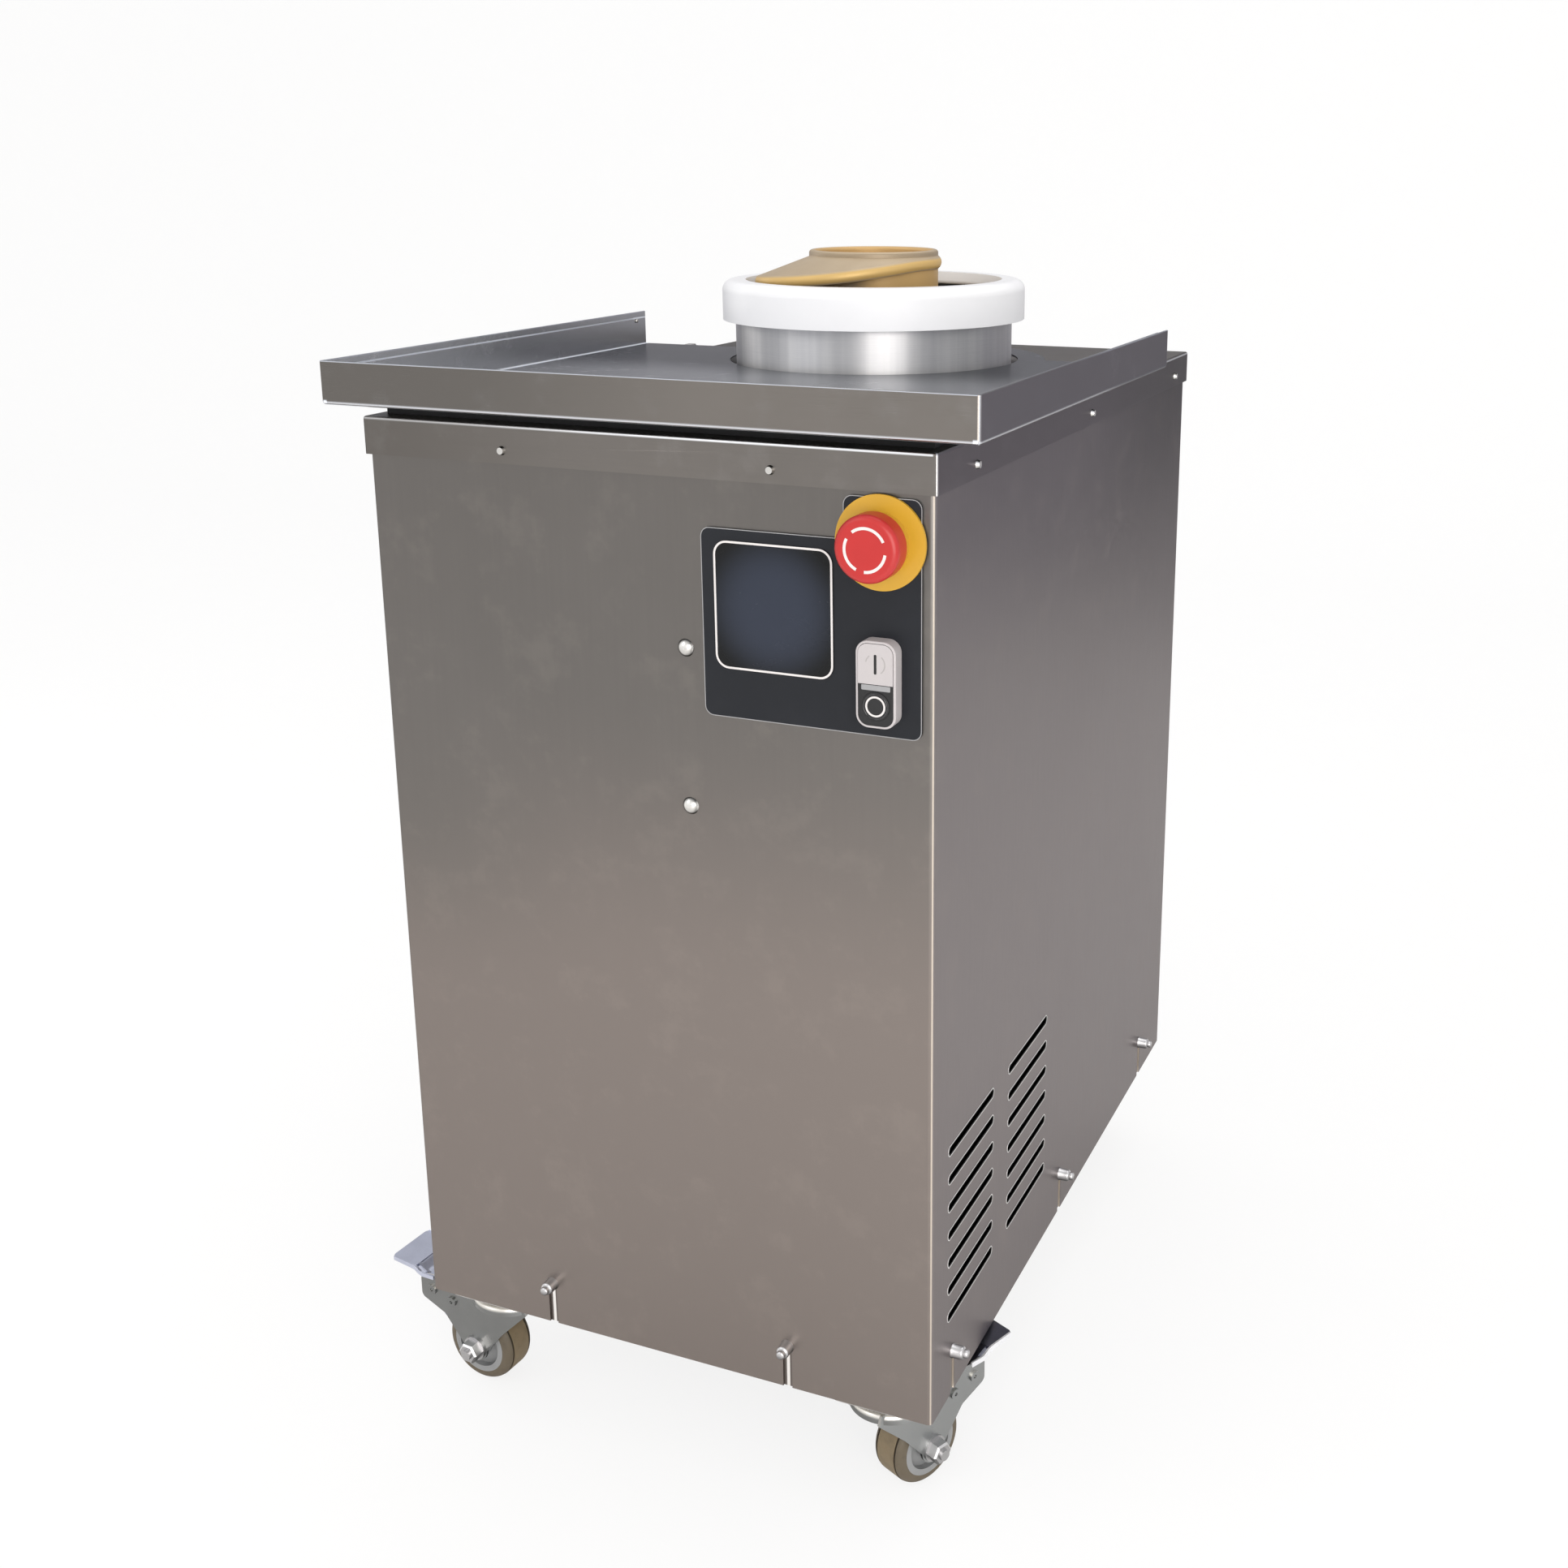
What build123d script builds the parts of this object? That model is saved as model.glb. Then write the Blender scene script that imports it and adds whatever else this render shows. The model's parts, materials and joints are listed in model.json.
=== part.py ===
from build123d import *
import os
from math import cos, radians, sin, sqrt

# Dough rounder: a steel cabinet on casters, with a spinning drum round a fixed hollow auger.
# Millimetres, +Z up. The origin is on the floor under the middle of the cabinet, and -Y is the front.

os.makedirs("parts", exist_ok=True)

# Cabinet
cabinet_width = 400
cabinet_depth = 590
cabinet_bottom = 90
cap_height = 744
panel_sheet = 1.5
panel_bend = 3.5
rear_return = 15
cap_gap = 0.8
cap_skirt = 25
cap_bend = 2.0
pan_sheet = 2.5
pan_flange = 50
pan_bend = 5
post_leg = 30
post_leg_across = 14
post_sheet = 3
slip = 0.3
running_fit = 0.05

# Vents in the side panels
vent_length = 86
vent_width = 5
vent_rows = 7
vent_pitch = 20.8
vent_columns = 2
vent_column_pitch = 119
vent_setback = 132
vent_middle_height = 215.5

# Cabinet fasteners
stud_height = 122
stud_radius = 3
stud_reach = 12
stud_chamfer = 0.75
stud_slot = 6.8
stud_front_spacing = 188
stud_side_count = 3
stud_front_inset = 39
stud_rear_inset = 73
nut_flats = 10
nut_height = 5
nut_flange_radius = 6.5
nut_flange = 1.2
cap_screw_radius = 2
cap_screw_head = 3
cap_screw_dome = 2.2
cap_screw_taper = 20
cap_screw_drop = 16.5
cap_screw_front_spacing = 190
cap_screw_side_count = 3
cap_screw_front_inset = 63.5
cap_screw_rear_inset = 42.5
front_screw_gap = 13.5
front_screw_drop = 133.5
front_screw_spacing = 105
front_screw_radius = 3
front_screw_head = 5.8
front_screw_dome = 3.4

# Tray
tray_side_overhang = 30
tray_overhang = 7.7
tray_reach = 34
tray_lift = 6.5
tray_wall = 28.7
tray_bend = 2.5
tray_tongue_radius = 136
tray_hole_radius = 114.5
hem_height = 4.6
hem_sheet = 1.2
hem_back_gap = 22
spacer_width = 14
spacer_inset = 16
spacer_side_inset = 8
pad_width = 7
pad_length = 8
pad_edge = 2.3
pad_gap = 16
pad_round = 0.8

# Drum and its ring
drum_y = 80.3
drum_radius = 109.3
drum_wall = 4
drum_lift = 80
drum_floor_thickness = 8
drum_rise = 60.5
collar_radius = 24
collar_height = 3
ring_radius = 119.2
ring_drop = 20.5
ring_lip = 10
ring_lip_radius = 101
ring_round = 8
ring_inner_round = 3

# Shaft, bearings and housing
shaft_radius = 22.5
shaft_bore = 16.5
shaft_flange_radius = 42
shaft_flange = 10
shaft_tail = 10
bearing_radius = 37.5
bearing_width = 16
race_wall = 3.5
seal_depth = 0.6
housing_radius = 46
housing_flange_radius = 70
housing_flange = 10
housing_drop = 74
housing_lip = 4
lock_nut_radius = 30
lock_nut_height = 8
lock_nut_slots = 4
lock_nut_slot = 5
carrier_depth = 33
carrier_floor = 10
carrier_bore = 34
post_radius = 15
post_hex_flats = 24
post_hex_height = 26
post_rise = 36

# Deck and rails
deck_height = 560
deck_thickness = 8
deck_rear_gap = 95
rail_leg = 30
rail_sheet = 3
deck_bolt_radius = 4
deck_bolt_flats = 13
deck_bolt_head = 5.5
housing_bolt_count = 6
housing_bolt_circle = 58
motor_bolt_count = 4
motor_bolt_circle = 78

# Belt drive and motor
motor_setback = 87.3
drum_pulley_radius = 95
motor_pulley_radius = 27
belt_width = 19
belt_thickness = 3
belt_rise = 40.5
belt_gap = 0.25
pulley_lip = 2
pulley_lip_height = 4
pulley_lip_gap = 0.5
pulley_rim = 7
pulley_web = 7
drum_pulley_hub = 34
drum_pulley_hub_drop = 20
pulley_window_count = 6
pulley_window_radius = 14
motor_radius = 60
motor_fin = 9
motor_fin_width = 2.5
motor_fin_count = 30
motor_length = 205
motor_flange_radius = 88
motor_flange = 12
motor_spigot_radius = 55
motor_spigot = 4
motor_shaft_radius = 12
motor_shaft_rise = 64
motor_shaft_chamfer = 1
cowl_length = 58
cowl_sheet = 2
cowl_slot_count = 12
cowl_slot_length = 26
cowl_slot_width = 5

# Auger
auger_rise = 93
auger_core_radius = 50.8
auger_hole_radius = 45
auger_root_radius = 48
auger_step = 24
rim_step = 3
rim_round = 2.4
hood_slope = 0.35
flight_reach = 93.5
flight_lip = 55
flight_edge = 9
flight_gap = 4
flight_turns = 2.35
flight_sections = 48
flight_hollow = 14
edge_bulge = 2.2
root_drop = 8
taper_start = -150
taper_end = -15
lip_end = 60
lip_fade = 3.6
ramp_tilt = 32
ramp_step = 2
window_height = 36
window_width = 60
window_corner = 8
window_rise = 4
window_lead = 52

# Control panel
plate_edge = 7.5
plate_width = 146.5
plate_drop = 28
plate_height = 147
plate_shoulder_drop = 26.6
plate_column = 50.5
plate_corner = 6
plate_sheet = 1.5
display_inset = 9
display_rise = 32
display_width = 80
display_height = 81
display_corner = 9
display_proud = 0.8
display_body_inset = 2
display_depth = 30
switch_inset = 26
switch_hole = 11.2
contact_gap = 8
contact_width = 29
contact_height = 40
contact_depth = 38
contact_corner = 3
estop_drop = 27
estop_disc_radius = 29
estop_disc = 2
estop_neck_radius = 18.7
estop_neck = 10
estop_neck_gap = 0.5
estop_head_radius = 20.5
estop_head = 15
estop_head_crown = 4
estop_back_round = 0.7
estop_proud = 26
estop_recess = 8.5
estop_travel = 5
estop_stem_radius = 8
stem_reach = 10
dual_drop = 112
dual_width = 26
dual_length = 54
dual_corner = 8
dual_round = 0.8
dual_proud = 9.5
dual_frame = 1.4
dual_gap = 0.3
dual_split = 0.4
dual_back = 2
dual_insert_drop = 0.5
start_proud = 0.3
start_depth = 4.5
stop_radius = 9
stop_proud = 0.8
stop_depth = 3.6
stop_round = 0.8
stop_drop = 0.5
controller_screw_gap = 12.5
controller_plate_width = 120
controller_over = 25.5
controller_edge = 10
controller_plate = 2.5
controller_width = 82
controller_height = 126
controller_depth = 54
controller_gap = 7.5
controller_fin_count = 9
controller_fin = 3
controller_fin_depth = 8

# Cable entry in the rear panel
gland_x = 120
gland_height = 190
gland_bore = 5
gland_thread = 10
gland_flats = 24
gland_hex = 6
gland_dome_radius = 11
gland_dome = 14
gland_round = 3.5
gland_inside = 12

# Casters
caster_side_inset = 44.5
caster_end_inset = 36.3
wheel_radius = 30
wheel_width = 28
caster_trail = 24.4
front_left_turn = 174.6
front_right_turn = 65.3
rear_left_turn = 97
rear_right_turn = 172
caster_plate_length = 68
caster_plate_width = 62
caster_plate = 2.5
race_radius = 22
race_height = 6
king_pin_radius = 6
king_pin_head = 10
king_pin_head_height = 3
fork_sheet = 2.3
fork_head_radius = 29.5
fork_inside = 31.6
fork_shoulder = 5
fork_nose_height = 74
fork_knee_reach = 27.5
fork_knee_height = 50
fork_boss_radius = 11
fork_elbow_reach = 28
fork_elbow_height = 51
fork_tail_reach = 50
fork_tail_height = 60
fork_tail_top = 79
fork_tail_round = 5
fork_roof_reach = 9
rivet_reach = 20
rivet_height = 63.7
rivet_radius = 2.6
rivet_head = 1.6
rivet_head_radius = 3.9
rivet_dimple_radius = 1.3
rivet_dimple = 0.9
axle_radius = 4
axle_flats = 14.5
axle_nut = 8
axle_chamfer = 1.2
axle_tip = 2
axle_washer_radius = 9.5
axle_washer = 1.6
tyre_inner_radius = 22.5
tyre_round = 6.5
tyre_groove = 1.2
tyre_groove_offset = 9
hub_boss_radius = 9.5
hub_recess = 5
hub_recess_radius = 18
hub_side_gap = 0.5
pedal_pivot_reach = 39
pedal_pivot_height = 68.4
pedal_pivot_radius = 3
pedal_ear = 2.2
pedal_ear_radius = 7
pedal_shoe_arm = 21.4
pedal_shoe_angle = 240
pedal_shoe_radius = 3
pedal_plate_start = 54
pedal_plate_length = 22.5
pedal_plate_width = 40
pedal_plate = 2.5
pedal_plate_top = 86.8
pedal_plate_rise = 2.3
pedal_corner = 4

# Places worked out from the sizes above
front_face = -cabinet_depth / 2
rear_face = cabinet_depth / 2
side_face = cabinet_width / 2
panel_top = cap_height - panel_sheet
inner_side = side_face - panel_sheet
inner_front = front_face + panel_sheet
inner_rear = rear_face - 2 * panel_sheet
pan_depth = inner_rear - inner_front
pan_middle = (inner_rear + inner_front) / 2
cap_side = side_face + cap_gap + panel_sheet
cap_end = rear_face + cap_gap + panel_sheet
cap_screw_height = cap_height - cap_screw_drop
tray_width = 2 * (side_face + tray_side_overhang)
tray_front = front_face - tray_overhang
tray_back = drum_y + tray_reach
tray_bottom = cap_height + tray_lift
tray_top = tray_bottom + tray_wall
drum_floor = deck_height + drum_lift
drum_top = cap_height + drum_rise
floor_top = drum_floor + drum_floor_thickness
ring_bottom = drum_top - ring_drop
auger_rim = cap_height + auger_rise
auger_bottom = drum_floor + auger_step
window_bottom = auger_bottom + window_rise
post_top = drum_floor + post_rise
deck_bottom = deck_height - deck_thickness
deck_front = inner_front + controller_depth + controller_gap
deck_back = rear_face - deck_rear_gap
housing_bottom = deck_bottom - housing_drop
shaft_end = housing_bottom - shaft_tail
belt_bottom = deck_height + belt_rise
motor_y = deck_front + motor_setback
motor_shaft_top = deck_height + motor_shaft_rise
motor_bottom = deck_bottom - motor_flange - motor_length
plate_front = front_face - plate_sheet
plate_right = side_face - plate_edge
plate_left = plate_right - plate_width
plate_top = cap_height - plate_drop
plate_shoulder = plate_top - plate_shoulder_drop
plate_bottom = plate_top - plate_height
display_left = plate_left + display_inset
display_bottom = plate_bottom + display_rise
switch_x = plate_right - switch_inset
estop_height = plate_top - estop_drop
dual_height = plate_top - dual_drop
front_screw_x = plate_left - front_screw_gap
front_screw_upper = cap_height - front_screw_drop
front_screw_lower = front_screw_upper - front_screw_spacing
controller_right = front_screw_x + controller_screw_gap
controller_left = controller_right - controller_plate_width
controller_top = front_screw_upper + controller_over
controller_bottom = front_screw_lower - controller_over
caster_x = side_face - caster_side_inset
caster_y = rear_face - caster_end_inset
vent_middle_y = front_face + vent_setback
display_body_width = display_width - 2 * display_body_inset
display_body_height = display_height - 2 * display_body_inset
drum_axis = Axis((0, drum_y, 0), (0, 0, 1))
drum_section = Plane(origin=(0, drum_y, 0), x_dir=(1, 0, 0), z_dir=(0, -1, 0))
stud_front_x = [-stud_front_spacing / 2, stud_front_spacing / 2]
stud_side_start = front_face + stud_front_inset
stud_side_pitch = (rear_face - stud_rear_inset - stud_side_start) / (stud_side_count - 1)
stud_side_y = [stud_side_start + stud_side_pitch * step for step in range(stud_side_count)]
cap_screw_front_x = [-cap_screw_front_spacing / 2, cap_screw_front_spacing / 2]
cap_screw_side_start = front_face + cap_screw_front_inset
cap_screw_side_pitch = (rear_face - cap_screw_rear_inset - cap_screw_side_start) / (cap_screw_side_count - 1)
cap_screw_side_y = [
    cap_screw_side_start + cap_screw_side_pitch * step for step in range(cap_screw_side_count)
]
cap_screw_rear_x = [rear_return / 2 - side_face, side_face - rear_return / 2]


def wall_plane(x, y, z, outward):
    """Plane on a wall, looking out of the cabinet, with its own y upwards."""
    return Plane(origin=(x, y, z), x_dir=Vector(0, 0, 1).cross(Vector(outward)), z_dir=outward)


# Base pan: folded floor of the cabinet, which carries the casters, posts and panel studs.
with BuildPart() as base_pan:
    with BuildSketch(Plane((0, pan_middle, cabinet_bottom))):
        RectangleRounded(2 * inner_side, pan_depth, pan_bend)
    extrude(amount=pan_flange)
    offset(amount=-pan_sheet, openings=base_pan.faces().sort_by(Axis.Z)[-1])
    with BuildSketch(Plane.XZ):
        with Locations(*[(x, stud_height) for x in stud_front_x]):
            Circle(stud_radius)
    extrude(amount=cabinet_depth, both=True, mode=Mode.SUBTRACT)
    with BuildSketch(Plane.YZ):
        with Locations(*[(y, stud_height) for y in stud_side_y]):
            Circle(stud_radius)
    extrude(amount=cabinet_width, both=True, mode=Mode.SUBTRACT)
base_pan.part.label = "base_pan"
export_step(base_pan.part, "parts/base_pan.step")

# Corner posts: steel angles that stand in the pan's corners and carry the cap and the deck rails.
post_side = inner_side - pan_sheet
post_front = inner_front + pan_sheet
post_rear = inner_rear - pan_sheet
with BuildPart() as frame_posts:
    with BuildSketch(Plane.XY.offset(cabinet_bottom + pan_sheet)):
        for across in (-1, 1):
            for along, corner_y in ((1, post_front), (-1, post_rear)):
                with Locations((across * (post_side - post_leg_across / 2), corner_y + along * post_leg / 2)):
                    RectangleRounded(post_leg_across, post_leg, post_sheet)
                with Locations((across * (post_side - post_sheet - post_leg / 2),
                                corner_y + along * (post_sheet + post_leg / 2))):
                    Rectangle(post_leg, post_leg, mode=Mode.SUBTRACT)
    extrude(amount=panel_top - cabinet_bottom - pan_sheet)
frame_posts.part.label = "frame_posts"
export_step(frame_posts.part, "parts/frame_posts.step")

# Deck rails: angles between the front and rear posts, with the deck on their upper legs.
rail_side = post_side - post_sheet
with BuildPart() as deck_rails:
    with BuildSketch(Plane.XZ.offset(-post_front - post_sheet)):
        for across in (-1, 1):
            with Locations((across * (rail_side - rail_leg / 2), deck_bottom - rail_leg / 2)):
                Rectangle(rail_leg, rail_leg)
            inner_x = rail_side - rail_sheet - rail_leg / 2
            with Locations((across * inner_x, deck_bottom - rail_sheet - rail_leg / 2)):
                Rectangle(rail_leg, rail_leg, mode=Mode.SUBTRACT)
    extrude(amount=-(post_rear - post_front - 2 * post_sheet))
deck_rails.part.label = "deck_rails"
export_step(deck_rails.part, "parts/deck_rails.step")

# Drive deck: thick plate that holds the bearing housing, with the motor hung under it.
with BuildPart() as drive_deck:
    with BuildSketch(Plane.XY.offset(deck_bottom)):
        with Locations((0, (deck_front + deck_back) / 2)):
            Rectangle(2 * rail_side, deck_back - deck_front)
        with Locations((0, drum_y)):
            Circle(housing_radius, mode=Mode.SUBTRACT)
            with PolarLocations(housing_bolt_circle, housing_bolt_count):
                Circle(deck_bolt_radius, mode=Mode.SUBTRACT)
        with Locations((0, motor_y)):
            Circle(motor_spigot_radius, mode=Mode.SUBTRACT)
            with PolarLocations(motor_bolt_circle, motor_bolt_count, start_angle=180 / motor_bolt_count):
                Circle(deck_bolt_radius, mode=Mode.SUBTRACT)
    extrude(amount=deck_thickness)
drive_deck.part.label = "drive_deck"
export_step(drive_deck.part, "parts/drive_deck.step")

# Body wrap: front and both sides folded from one sheet, with short returns at the rear.
# Its stud slots are open below, so it drops over the studs, and its vents are in both sides.
with BuildPart() as body_wrap:
    with BuildSketch(Plane.XY.offset(cabinet_bottom)):
        RectangleRounded(cabinet_width, cabinet_depth, panel_bend)
        RectangleRounded(
            2 * inner_side, cabinet_depth - 2 * panel_sheet, panel_bend - panel_sheet, mode=Mode.SUBTRACT
        )
        with Locations((0, rear_face)):
            Rectangle(cabinet_width - 2 * rear_return, 4 * panel_sheet, mode=Mode.SUBTRACT)
    extrude(amount=panel_top - cabinet_bottom)
    with BuildSketch(Plane.YZ):
        with Locations((vent_middle_y, vent_middle_height)):
            with GridLocations(vent_column_pitch, vent_pitch, vent_columns, vent_rows):
                SlotOverall(vent_length, vent_width)
        with Locations(*[(y, cabinet_bottom) for y in stud_side_y]):
            SlotOverall(2 * (stud_height - cabinet_bottom) + stud_slot, stud_slot, rotation=90)
        with Locations(*[(y, cap_screw_height) for y in cap_screw_side_y]):
            Circle(cap_screw_radius)
    extrude(amount=cabinet_width, both=True, mode=Mode.SUBTRACT)
    with BuildSketch(Plane.XZ):
        with Locations(*[(x, cabinet_bottom) for x in stud_front_x]):
            SlotOverall(2 * (stud_height - cabinet_bottom) + stud_slot, stud_slot, rotation=90)
        with Locations(*[(x, cap_screw_height) for x in cap_screw_front_x]):
            Circle(cap_screw_radius)
        with Locations((front_screw_x, front_screw_upper), (front_screw_x, front_screw_lower)):
            Circle(front_screw_radius)
        with Locations((switch_x, estop_height), (switch_x, dual_height)):
            Circle(switch_hole)
        with Locations((display_left + display_width / 2, display_bottom + display_height / 2)):
            Rectangle(display_body_width + slip, display_body_height + slip)
    extrude(amount=cabinet_depth, mode=Mode.SUBTRACT)
    with BuildSketch(Plane.XZ):
        with Locations(*[(x, cap_screw_height) for x in cap_screw_rear_x]):
            Circle(cap_screw_radius)
    extrude(amount=-cabinet_depth, mode=Mode.SUBTRACT)
body_wrap.part.label = "body_wrap"
export_step(body_wrap.part, "parts/body_wrap.step")

# Rear panel: flat sheet held behind the wrap's returns, with the hole for the cable gland.
with BuildPart() as rear_panel:
    with BuildSketch(Plane.XZ.offset(-inner_rear)):
        with Locations((0, (panel_top + cabinet_bottom) / 2)):
            Rectangle(2 * (inner_side - panel_bend), panel_top - cabinet_bottom)
        with Locations(*[(x, cabinet_bottom) for x in stud_front_x]):
            SlotOverall(
                2 * (stud_height - cabinet_bottom) + stud_slot, stud_slot, rotation=90, mode=Mode.SUBTRACT
            )
        with Locations(*[(x, cap_screw_height) for x in cap_screw_rear_x]):
            Circle(cap_screw_radius, mode=Mode.SUBTRACT)
        with Locations((gland_x, gland_height)):
            Circle(gland_thread, mode=Mode.SUBTRACT)
    extrude(amount=-panel_sheet)
rear_panel.part.label = "rear_panel"
export_step(rear_panel.part, "parts/rear_panel.step")

# Top cap: lid with a folded skirt, and a hole for the drum.
with BuildPart() as top_cap:
    with BuildSketch(Plane.XY.offset(cap_height)):
        Rectangle(2 * cap_side, 2 * cap_end)
    extrude(amount=-cap_skirt)
    fillet(top_cap.edges().filter_by(Axis.Z), cap_bend)
    fillet(top_cap.edges().group_by(Axis.Z)[-1], cap_bend)
    offset(amount=-panel_sheet, openings=top_cap.faces().sort_by(Axis.Z)[0])
    with BuildSketch(Plane.XY.offset(cap_height)):
        with Locations((0, drum_y)):
            Circle(tray_hole_radius)
    extrude(amount=-cap_skirt, mode=Mode.SUBTRACT)
    with BuildSketch(Plane.YZ):
        with Locations(*[(y, cap_screw_height) for y in cap_screw_side_y]):
            Circle(cap_screw_radius)
    extrude(amount=cabinet_width, both=True, mode=Mode.SUBTRACT)
    with BuildSketch(Plane.XZ):
        with Locations(*[(x, cap_screw_height) for x in cap_screw_front_x]):
            Circle(cap_screw_radius)
    extrude(amount=cabinet_depth, mode=Mode.SUBTRACT)
    with BuildSketch(Plane.XZ):
        with Locations(*[(x, cap_screw_height) for x in cap_screw_rear_x]):
            Circle(cap_screw_radius)
    extrude(amount=-cabinet_depth, mode=Mode.SUBTRACT)
top_cap.part.label = "top_cap"
export_step(top_cap.part, "parts/top_cap.step")

# Cap screws: small domed heads round the skirt, with shanks through the skirt and the wrap.
cap_screw_planes = [wall_plane(x, -cap_end, cap_screw_height, (0, -1, 0)) for x in cap_screw_front_x]
cap_screw_planes += [wall_plane(x, cap_end, cap_screw_height, (0, 1, 0)) for x in cap_screw_rear_x]
cap_screw_planes += [wall_plane(-cap_side, y, cap_screw_height, (-1, 0, 0)) for y in cap_screw_side_y]
cap_screw_planes += [wall_plane(cap_side, y, cap_screw_height, (1, 0, 0)) for y in cap_screw_side_y]
cap_screw_shank = cap_gap + 3 * panel_sheet
with BuildPart() as cap_screws:
    with BuildSketch(*cap_screw_planes):
        Circle(cap_screw_radius)
    extrude(amount=-cap_screw_shank)
    with BuildSketch(*cap_screw_planes):
        Circle(cap_screw_head)
    extrude(amount=cap_screw_dome, taper=cap_screw_taper)
cap_screws.part.label = "cap_screws"
export_step(cap_screws.part, "parts/cap_screws.step")

# Base studs: threaded studs through the pan's flange, each with a flanged nut that clamps a panel.
stud_planes = [wall_plane(x, front_face, stud_height, (0, -1, 0)) for x in stud_front_x]
stud_planes += [wall_plane(x, inner_rear + panel_sheet, stud_height, (0, 1, 0)) for x in stud_front_x]
stud_planes += [wall_plane(-side_face, y, stud_height, (-1, 0, 0)) for y in stud_side_y]
stud_planes += [wall_plane(side_face, y, stud_height, (1, 0, 0)) for y in stud_side_y]
with BuildPart() as base_studs:
    with BuildSketch(*stud_planes):
        Circle(stud_radius)
    extrude(amount=stud_reach)
    chamfer(base_studs.edges().filter_by(GeomType.CIRCLE), stud_chamfer)
    with BuildSketch(*stud_planes):
        Circle(stud_radius)
    extrude(amount=-(panel_sheet + pan_sheet))
    with BuildSketch(*stud_planes):
        Circle(nut_flange_radius)
    extrude(amount=nut_flange)
    with BuildSketch(*stud_planes):
        RegularPolygon(nut_flats / 2, 6, major_radius=False)
    extrude(amount=nut_flange + nut_height)
base_studs.part.label = "base_studs"
export_step(base_studs.part, "parts/base_studs.step")

# Front screws: two domed screws through the front, which hold the motor controller inside.
front_screw_planes = [
    wall_plane(front_screw_x, front_face, height, (0, -1, 0))
    for height in (front_screw_upper, front_screw_lower)
]
front_screw_sphere = (front_screw_head**2 + front_screw_dome**2) / (2 * front_screw_dome)
with BuildPart() as front_screws:
    for plane in front_screw_planes:
        with BuildSketch(Plane(plane.origin, x_dir=plane.y_dir, z_dir=plane.x_dir)):
            with BuildLine():
                Line((0, 0), (0, front_screw_dome))
                RadiusArc((0, front_screw_dome), (front_screw_head, 0), front_screw_sphere)
                Line((front_screw_head, 0), (0, 0))
            make_face()
        revolve(axis=Axis(plane.origin, plane.z_dir))
    with BuildSketch(*front_screw_planes):
        Circle(front_screw_radius)
    extrude(amount=-(panel_sheet + controller_plate))
front_screws.part.label = "front_screws"
export_step(front_screws.part, "parts/front_screws.step")

# Tray spacers: a low frame set back from the cap's edge, which holds the tray off the cap.
spacer_side = cap_side - spacer_side_inset
spacer_front = -cap_end + spacer_inset
spacer_back = tray_back - spacer_width
with BuildPart() as tray_spacers:
    with BuildSketch(Plane.XY.offset(cap_height)):
        with Locations((0, (spacer_front + spacer_back) / 2)):
            Rectangle(2 * spacer_side, spacer_back - spacer_front)
        with Locations((0, (spacer_front + spacer_back) / 2 + spacer_width)):
            Rectangle(2 * (spacer_side - spacer_width), spacer_back - spacer_front, mode=Mode.SUBTRACT)
    extrude(amount=tray_lift)
tray_spacers.part.label = "tray_spacers"
export_step(tray_spacers.part, "parts/tray_spacers.step")

# Cap pads: two small blocks on the bare part of the cap, behind the tray.
with BuildPart() as cap_pads:
    with BuildSketch(Plane.XY.offset(cap_height)):
        with Locations((0, tray_back + pad_gap + pad_length / 2)):
            with GridLocations(2 * (cap_side - pad_edge) - pad_width, 0, 2, 1):
                Rectangle(pad_width, pad_length)
    extrude(amount=tray_lift)
    fillet(cap_pads.edges().group_by(Axis.Z)[-1], pad_round)
cap_pads.part.label = "cap_pads"
export_step(cap_pads.part, "parts/cap_pads.step")

# Tray: folded sheet with three walls and a hem, open at the back, with a tongue round the drum.
tray_depth = tray_back - tray_front
with BuildPart() as tray:
    with BuildSketch(Plane.XY.offset(tray_bottom)):
        with Locations((0, (tray_front + tray_back) / 2)):
            Rectangle(tray_width, tray_depth)
    extrude(amount=tray_wall)
    fillet(tray.edges().filter_by(Axis.Z).group_by(Axis.Y)[0], tray_bend)
    fillet(tray.edges().group_by(Axis.Z)[0].sort_by(Axis.Y)[:-1], tray_bend)
    offset(amount=-panel_sheet, openings=[tray.faces().sort_by(Axis.Z)[-1], tray.faces().sort_by(Axis.Y)[-1]])
    with BuildSketch(Plane.XY.offset(tray_top)):
        with Locations((0, (tray_front + tray_back - hem_back_gap) / 2 + panel_sheet / 2)):
            Rectangle(tray_width - 2 * panel_sheet, tray_depth - hem_back_gap - panel_sheet)
        with Locations((0, (tray_front + tray_back) / 2 + panel_sheet + hem_sheet)):
            Rectangle(tray_width - 2 * (panel_sheet + hem_sheet), tray_depth, mode=Mode.SUBTRACT)
    extrude(amount=-hem_height)
    with BuildSketch(Plane.XY.offset(tray_bottom)):
        with Locations((0, drum_y)):
            Circle(tray_tongue_radius)
    extrude(amount=panel_sheet)
    with BuildSketch(Plane.XY.offset(tray_bottom)):
        with Locations((0, drum_y)):
            Circle(tray_hole_radius)
    extrude(amount=panel_sheet, mode=Mode.SUBTRACT)
tray.part.label = "tray"
export_step(tray.part, "parts/tray.step")

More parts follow.
